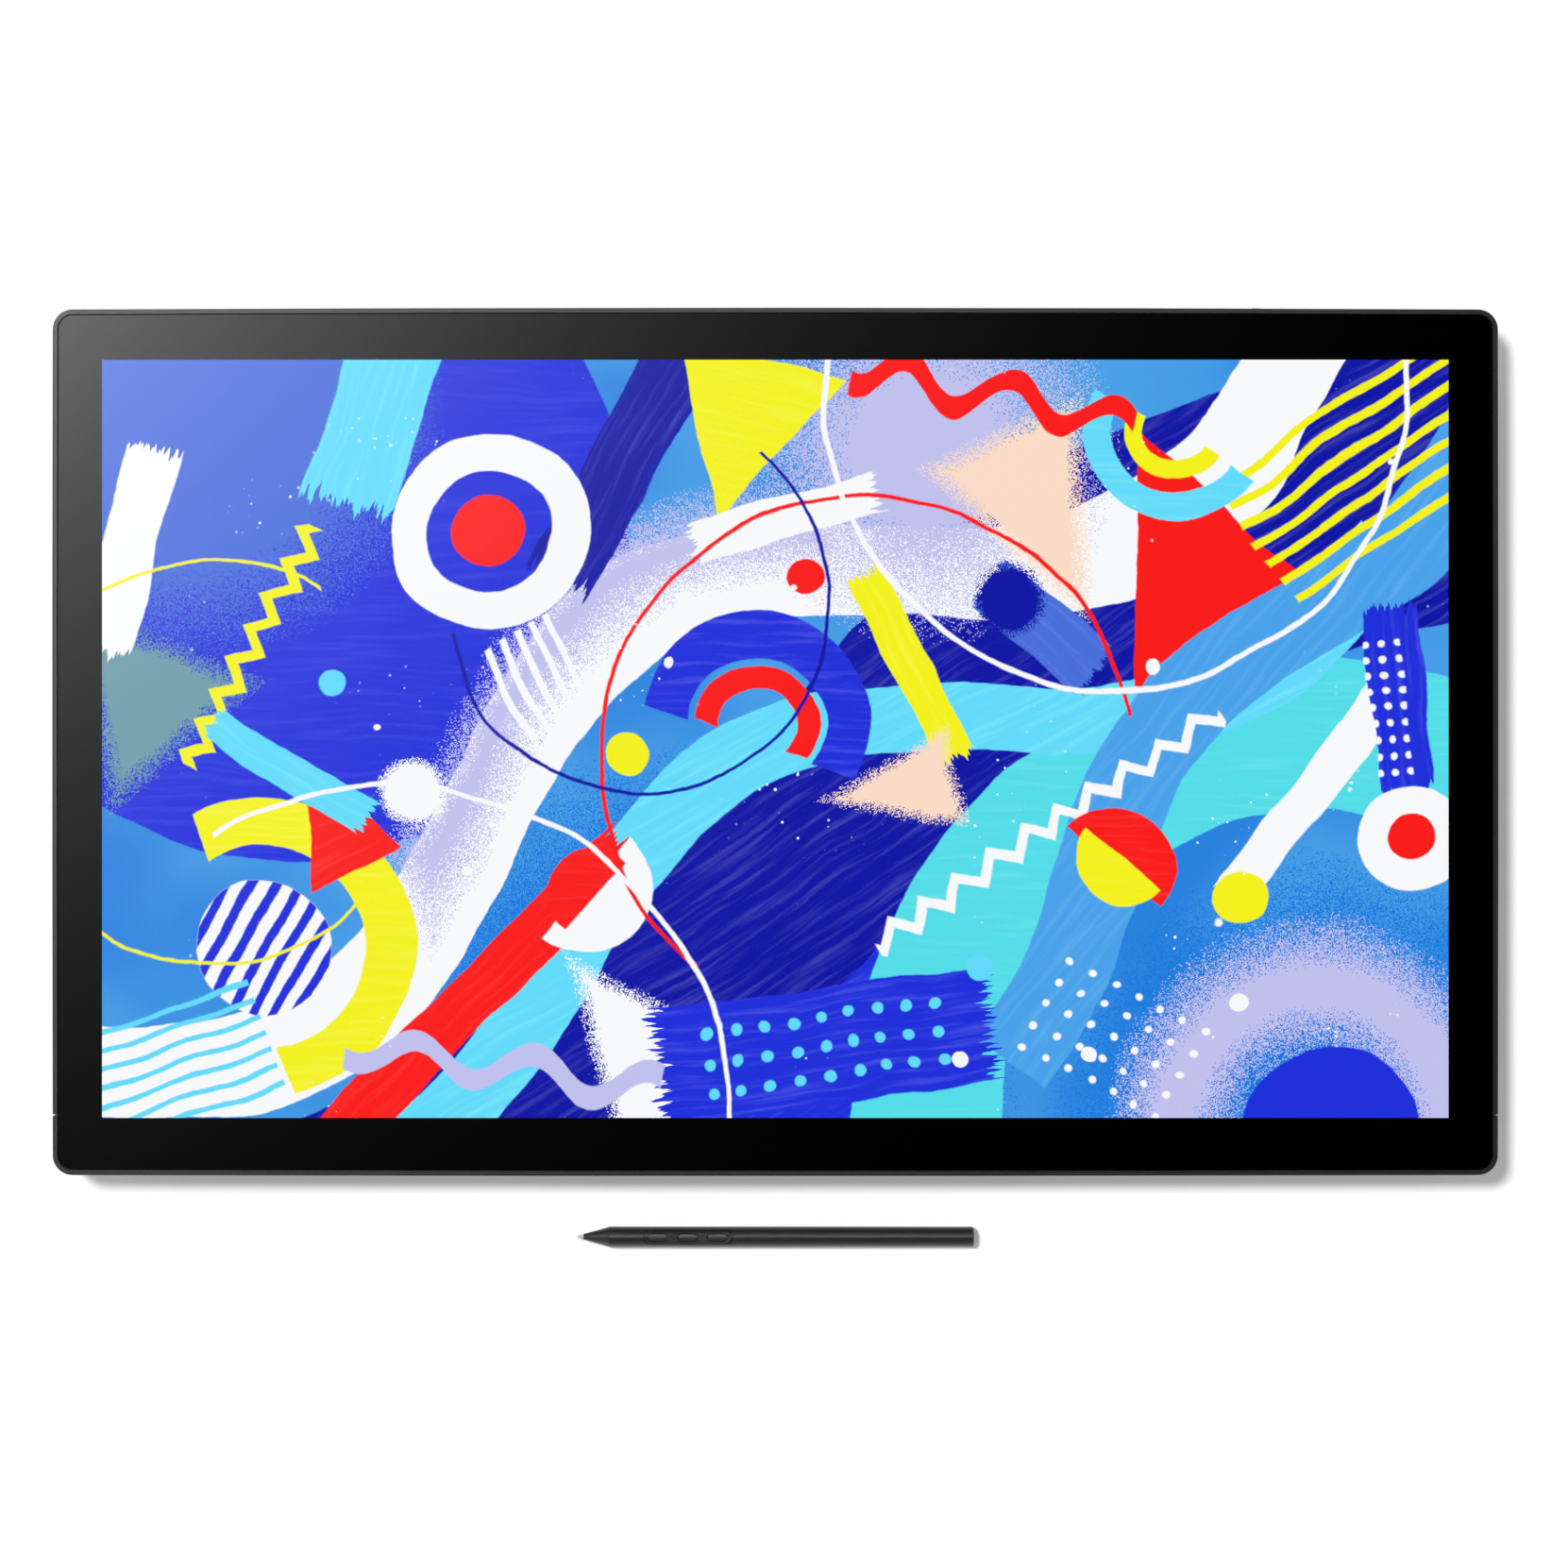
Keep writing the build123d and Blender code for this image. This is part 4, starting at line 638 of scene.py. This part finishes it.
# kind, place, size, ink and the rest; millimetres from the middle of the screen, turns in degrees
motifs = [
    ("disc", (-215, 96), (150,), "royal", {"streak": 0.15}),
    ("disc", (-262, 150), (96,), "slate", {"spray": 44}),
    ("disc", (-40, -150), (120,), "deep", {"spray": 60}),
    ("wave", (60, -40), (420, 66), "navy", {"turn": 34, "bend": (34, 640, 0.4), "streak": 0.3}),
    ("wave", (96, -78), (150, 26), "royal",
     {"turn": 34, "bend": (20, 460, 0.2), "ragged": 60, "streak": 0.3}),
    ("ring", (236, -168), (170, 34), "turquoise", {"streak": 0.2}),
    ("disc", (238, -170), (96,), "deep", {"spray": 50}),
    ("ring", (238, -170), (60, 20), "lavender", {"spray": 26}),
    ("disc", (246, -176), (40,), "royal", {}),
    ("wave", (-60, 6), (400, 24), "white", {"turn": 31, "bend": (44, 430, 1.2), "ragged": 30}),
    ("wave", (-70, 20), (120, 14), "lavender", {"turn": 31, "bend": (44, 430, 1.1), "spray": 24}),
    ("wave", (-30, -62), (330, 17), "cyan", {"turn": 29, "bend": (40, 430, 1.0), "streak": 0.3}),
    ("bar", (-176, 146), (44, 20), "cyan", {"turn": 72, "ragged": 30, "streak": 0.3}),
    ("bar", (-64, 128), (66, 15), "navy", {"turn": 62, "ragged": 34, "streak": 0.3}),
    ("disc", (66, 128), (60,), "lavender", {"spray": 56}),
    ("wedge", (182, 88), (48, 52), "red", {"turn": 24}),
    ("wedge", (118, 96), (34, 42), "peach", {"turn": 204, "spray": 10}),
    ("wedge", (-266, 20), (40, 34), "grey", {"turn": 280, "spray": 12}),
    ("wave", (206, 18), (190, 20), "sky", {"turn": 52, "bend": (18, 300, 2.2), "streak": 0.25}),
    ("bar", (240, -20), (60, 9), "white", {"turn": 52, "ragged": 24, "streak": 0.2}),
    ("bar", (-134, -116), (96, 12), "red", {"turn": 45, "ragged": 26, "streak": 0.12}),
    ("wedge", (-64, -132), (36, 40), "white", {"turn": 40, "spray": 8}),
    ("ring", (-226, -92), (56, 11), "yellow", {"cut": (200, 10), "streak": 0.3}),
    ("disc", (-226, -92), (30,), "white", {}),
    ("disc", (-226, -92), (30,), "royal", {"stripes": (9, 0.45), "turn": 60}),
    ("bar", (22, -136), (74, 26), "royal", {"turn": 8, "ragged": 34, "streak": 0.3}),
    ("bar", (22, -136), (60, 20), "cyan", {"turn": 8, "dots": (13, 2.6)}),
    ("wedge", (-16, 132), (38, 38), "yellow", {"turn": 165, "streak": 0.25}),
    ("ring", (-126, 92), (36, 8), "white", {"streak": 0.1}),
    ("disc", (-126, 92), (17,), "red", {}),
    ("ring", (-8, 6), (40, 10), "royal", {"cut": (250, 8), "streak": 0.3}),
    ("ring", (-8, 6), (22, 5), "red", {"cut": (250, 6)}),
    ("bar", (60, 32), (46, 8), "yellow", {"turn": 118, "ragged": 20, "streak": 0.3}),
    ("zigzag", (120, -40), (92, 2.2), "white", {"turn": 34, "fold": (9, 9)}),
    ("zigzag", (-232, 40), (60, 2.4), "yellow", {"turn": 62, "fold": (8, 9)}),
    ("bar", (262, 120), (60, 34), "yellow", {"turn": 34, "stripes": (10, 0.36)}),
    ("bar", (-282, -150), (60, 26), "cyan", {"turn": 20, "stripes": (8, 0.3)}),
    ("bar", (150, -132), (40, 30), "white", {"turn": -28, "dots": (11, 1.7)}),
    ("bar", (-286, 84), (46, 12), "white", {"turn": 76, "ragged": 20, "streak": 0.1}),
    ("disc", (-84, -66), (30,), "white", {"cut": (140, 0), "streak": 0.1}),
    ("disc", (-80, -70), (21,), "red", {"cut": (320, 0), "streak": 0.15}),
    ("ring", (176, 136), (34, 6), "cyan", {"cut": (60, 0), "streak": 0.3}),
    ("ring", (176, 136), (18, 4), "yellow", {"cut": (60, 0)}),
    ("wedge", (-196, -34), (22, 26), "red", {"turn": 26, "streak": 0.15}),
    ("wedge", (52, -22), (20, 28), "peach", {"turn": 100, "spray": 6}),
    ("bar", (-214, -14), (40, 8), "cyan", {"turn": -32, "ragged": 18, "streak": 0.3}),
    ("bar", (4, 98), (42, 9), "white", {"turn": 16, "ragged": 22, "streak": 0.12}),
    ("bar", (118, 50), (30, 13), "slate", {"turn": 140, "ragged": 16, "streak": 0.3}),
    ("disc", (104, 62), (15,), "navy", {"spray": 5}),
    ("wave", (-120, -146), (70, 5), "lavender", {"turn": -8, "bend": (7, 52, 0)}),
    ("wave", (96, 152), (64, 5), "red", {"turn": -12, "bend": (8, 46, 0.5)}),
    ("bar", (-104, 26), (24, 19), "white", {"turn": 118, "stripes": (7.5, 0.4)}),
    ("disc", (150, -56), (26,), "red", {"cut": (230, 0), "streak": 0.15}),
    ("disc", (154, -52), (20,), "yellow", {"cut": (50, 0), "streak": 0.2}),
    ("bar", (276, 18), (40, 12), "royal", {"turn": 96, "ragged": 20, "streak": 0.25}),
    ("bar", (272, 14), (30, 8), "white", {"turn": 96, "dots": (7, 1.6)}),
    ("ring", (40, -10), (118, 0.9), "red", {"cut": (300, 40)}),
    ("ring", (150, 150), (128, 1.2), "white", {"cut": (90, 20)}),
    ("ring", (-170, -170), (150, 1.1), "white", {"cut": (200, 30)}),
    ("ring", (-60, 60), (84, 0.8), "navy", {"cut": (120, 30)}),
    ("ring", (-250, -10), (90, 0.7), "yellow", {"cut": (10, 60)}),
    ("disc", (282, -44), (24,), "white", {"streak": 0.1}),
    ("disc", (282, -44), (11,), "red", {}),
    ("disc", (206, -70), (12,), "yellow", {}),
    ("disc", (-66, -6), (10,), "yellow", {}),
    ("disc", (14, 72), (8,), "red", {}),
    ("disc", (-160, -24), (14,), "white", {"spray": 5}),
    ("disc", (-196, 24), (6,), "cyan", {}),
    ("disc", (-40, 60), (5,), "white", {}),
    ("disc", (90, -100), (6,), "cyan", {}),
]
shapes = [
    dict(extra, kind=kind, at=at, size=size, ink=ink)
    for kind, at, size, ink, extra in motifs
]


def combed(art, u, v, comb):
    # noise drawn out along a shape, for its ragged ends and its brush streaks
    where = art.node("CombineXYZ", {}, {"X": u * comb["along"], "Y": v * comb["across"]})
    return art.noise(where, 1.0, comb["detail"])


def cover(art, spot, shape):
    # how far each point is outside the shape, and where it is along and across it
    turn = math.radians(shape.get("turn", 0))
    inputs = {"Vector": spot, "Location": (*shape["at"], 0), "Rotation": (0, 0, turn)}
    own = art.node("Mapping", {"vector_type": "TEXTURE"}, inputs)
    u = art.part(own, "X")
    v = art.part(own, "Y")
    kind, size = shape["kind"], shape["size"]
    if kind in ("disc", "ring"):
        reach = art.measure("LENGTH", own)
        away = reach - size[0] if kind == "disc" else abs(reach - size[0]) - size[1]
    elif kind == "wedge":
        slope = math.hypot(2 * size[1], size[0])
        side = (abs(u) * (2 * size[1]) + (v - size[1]) * size[0]) / slope
        away = art.math("MAXIMUM", side, 0 - v - size[1])
    else:
        middle = v
        if kind == "wave":
            swing, length, start = shape["bend"]
            middle = v - art.math("SINE", u * (2 * math.pi / length) + start) * swing
        if kind == "zigzag":
            step, rise = shape["fold"]
            middle = v - art.math("PINGPONG", u, step) * (rise / step) + rise / 2
            middle = middle * pictureSet["slant"]
        ends = abs(u) - size[0]
        if "ragged" in shape:
            ends = ends + (combed(art, u, v, pictureSet["ragged"]) - 0.5) * shape["ragged"]
        away = art.math("MAXIMUM", ends, abs(middle) - size[1])
    if "cut" in shape:
        angle, offset = math.radians(shape["cut"][0]), shape["cut"][1]
        line = u * math.cos(angle) + v * math.sin(angle) - offset
        away = art.math("MAXIMUM", away, line)
    if "stripes" in shape:
        gap, share = shape["stripes"]
        stripe = abs(art.math("WRAP", v, gap / 2, -gap / 2)) - gap * share / 2
        away = art.math("MAXIMUM", away, stripe)
    if "dots" in shape:
        gap, radius = shape["dots"]
        column, row = (art.math("WRAP", value, gap / 2, -gap / 2) for value in (u, v))
        away = art.math("MAXIMUM", away, art.math("SQRT", column * column + row * row) - radius)
    return away, u, v


def spanOf(shape):
    # how far a shape goes to the left and right of its place
    turn = math.radians(shape.get("turn", 0))
    size = shape["size"]
    if shape["kind"] in ("disc", "ring"):
        wide = sum(size)
    else:
        tall = size[1] + shape.get("bend", (0,))[0] + shape.get("fold", (0, 0))[1]
        wide = abs(math.cos(turn)) * size[0] + abs(math.sin(turn)) * tall
    return wide + (shape.get("spray", 0) + shape.get("ragged", 0)) / 2 + pictureSet["sway"]


def picture(name, low, high):
    # the part of the design from low to high, painted from the back to the front
    art = Finish(name)
    metres = art.node("TexCoord", output="Object")
    centre = (*pictureSet["centre"], 0)
    flat = art.vector("MULTIPLY", art.vector("SUBTRACT", metres, centre), (perMetre, perMetre, 0))
    moves = []
    for bend in pictureSet["bends"].values():
        inputs = {"Vector": flat, "Scale": bend["scale"], "Detail": bend["detail"]}
        drawn = art.vector("SUBTRACT", art.node("TexNoise", {}, inputs, "Color"), (0.5, 0.5, 0.5))
        moves.append(art.scaled(drawn, bend["by"]))
    spot = art.vector("ADD", flat, art.vector("ADD", *moves))
    cell = art.vector("SNAP", flat, (pictureSet["grainCell"],) * 3)
    grain = art.node("TexWhiteNoise", {"noise_dimensions": "2D"}, {"Vector": cell})
    drift = pictureSet["drift"]
    ground = art.ease(art.noise(flat, drift["scale"]), drift["low"], drift["high"])
    colour = art.mix(ground, *pictureSet["ground"])
    edge = pictureSet["edge"]
    near = []
    for shape in shapes:
        if low - spanOf(shape) < shape["at"][0] < high + spanOf(shape):
            near.append(shape)
    print(name, "has", len(near), "shapes")
    for shape in near:
        away, u, v = cover(art, spot, shape)
        if "spray" in shape:
            away = away + (grain - 0.5) * shape["spray"]
        mask = 1 - art.ease(away, -edge, edge)
        ink = inks[shape["ink"]]
        if "streak" in shape:
            lines = art.ease(combed(art, u, v, pictureSet["streak"]), *pictureSet["streakRange"])
            lifted = tuple(part + pictureSet["streakLift"] for part in ink)
            lifted = shade(lifted, pictureSet["streakShade"])
            ink = art.mix(lines * shape["streak"], ink, lifted)
        colour = art.mix(mask, colour, ink)
    # loose dots, each in its own cell, and fine specks in a few patches
    loose = pictureSet["confetti"]
    inputs = {"Vector": spot, "Scale": 1 / loose["cell"], "Randomness": loose["loose"]}
    reach = art.node("TexVoronoi", {}, inputs, "Distance") * loose["cell"]
    lot = art.node("TexVoronoi", {}, inputs, "Color")
    size = art.channel(lot, "Red")
    taken = art.math("LESS_THAN", art.channel(lot, "Green"), loose["share"])
    kind = art.math("GREATER_THAN", art.channel(lot, "Blue"), 0.5)
    away = reach - loose["radius"] * (loose["least"] + size)
    dot = 1 - art.ease(away, -loose["edge"], loose["edge"])
    first, second = (inks[name] for name in loose["inks"])
    colour = art.mix(dot * taken, colour, art.mix(kind, first, second))
    fine = pictureSet["specks"]
    inputs = {"Vector": flat, "Scale": 1 / fine["cell"], "Randomness": 1.0}
    reach = art.node("TexVoronoi", {}, inputs, "Distance") * fine["cell"]
    patch = art.ease(art.noise(flat, fine["patch"]), fine["low"], fine["high"])
    size = art.channel(art.node("TexVoronoi", {}, inputs, "Color"), "Red")
    dot = 1 - art.ease(reach - fine["radius"] * size * size, -fine["edge"], fine["edge"])
    colour = art.mix(dot * patch, colour, inks["white"])
    art.surface(
        {
            "Base Color": pictureSet["panel"],
            "Roughness": pictureSet["rough"],
            "Specular IOR Level": 0.0,
            "Emission Color": colour,
            "Emission Strength": pictureSet["lit"],
        }
    )
    art.material.cycles.emission_sampling = "NONE"
    return art.material


def slab(name, centre, size, low, high):
    # a thin closed slab whose top fills nearly all of its UV map, for the baked picture
    strip = pictureSet["strip"]
    start, length = pictureSet["sides"]
    mesh = bpy.data.meshes.new(name)
    shape = bmesh.new()
    halfX, halfY = size[0] / 2, size[1] / 2
    corners = [(-halfX, -halfY), (halfX, -halfY), (halfX, halfY), (-halfX, halfY)]
    under, over = (
        [shape.verts.new((centre[0] + x, centre[1] + y, z)) for x, y in corners]
        for z in (low, high)
    )
    faces = [shape.faces.new(reversed(under)), shape.faces.new(over)]
    for step in range(len(corners)):
        after = (step + 1) % len(corners)
        faces.append(shape.faces.new((under[step], under[after], over[after], over[step])))
    layer = shape.loops.layers.uv.new("OFBake")
    for face in faces:
        top = face is faces[1]
        for loop in face.loops:
            across = (loop.vert.co.x - centre[0]) / size[0] + 0.5
            up = (loop.vert.co.y - centre[1]) / size[1] + 0.5
            rise = start + length * (loop.vert.co.z - low) / (high - low)
            loop[layer].uv = (across, up * strip if top else strip + (1 - strip) * rise)
    shape.to_mesh(mesh)
    shape.free()
    piece = bpy.data.objects.new(name, mesh)
    bpy.context.scene.collection.objects.link(piece)
    return piece


columnWidth = pictureSet["size"][0] / pictureSet["columns"]
for column in range(pictureSet["columns"]):
    middleX = (column + 0.5) * columnWidth - pictureSet["size"][0] / 2
    name = f"screen_picture_{column + 1}"
    screen = slab(
        name,
        (pictureSet["centre"][0] + middleX, pictureSet["centre"][1]),
        (columnWidth, pictureSet["size"][1]),
        pictureSet["low"],
        pictureSet["high"],
    )
    ends = ((middleX + side * columnWidth / 2) * perMetre for side in (-1, 1))
    screen.data.materials.append(picture(name, *ends))
    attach(screen, "display")
print("picture painted with", len(shapes), "shapes")

both = {"cad": [list(corner) for corner in cadBox], "visual": [list(corner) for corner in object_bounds()]}
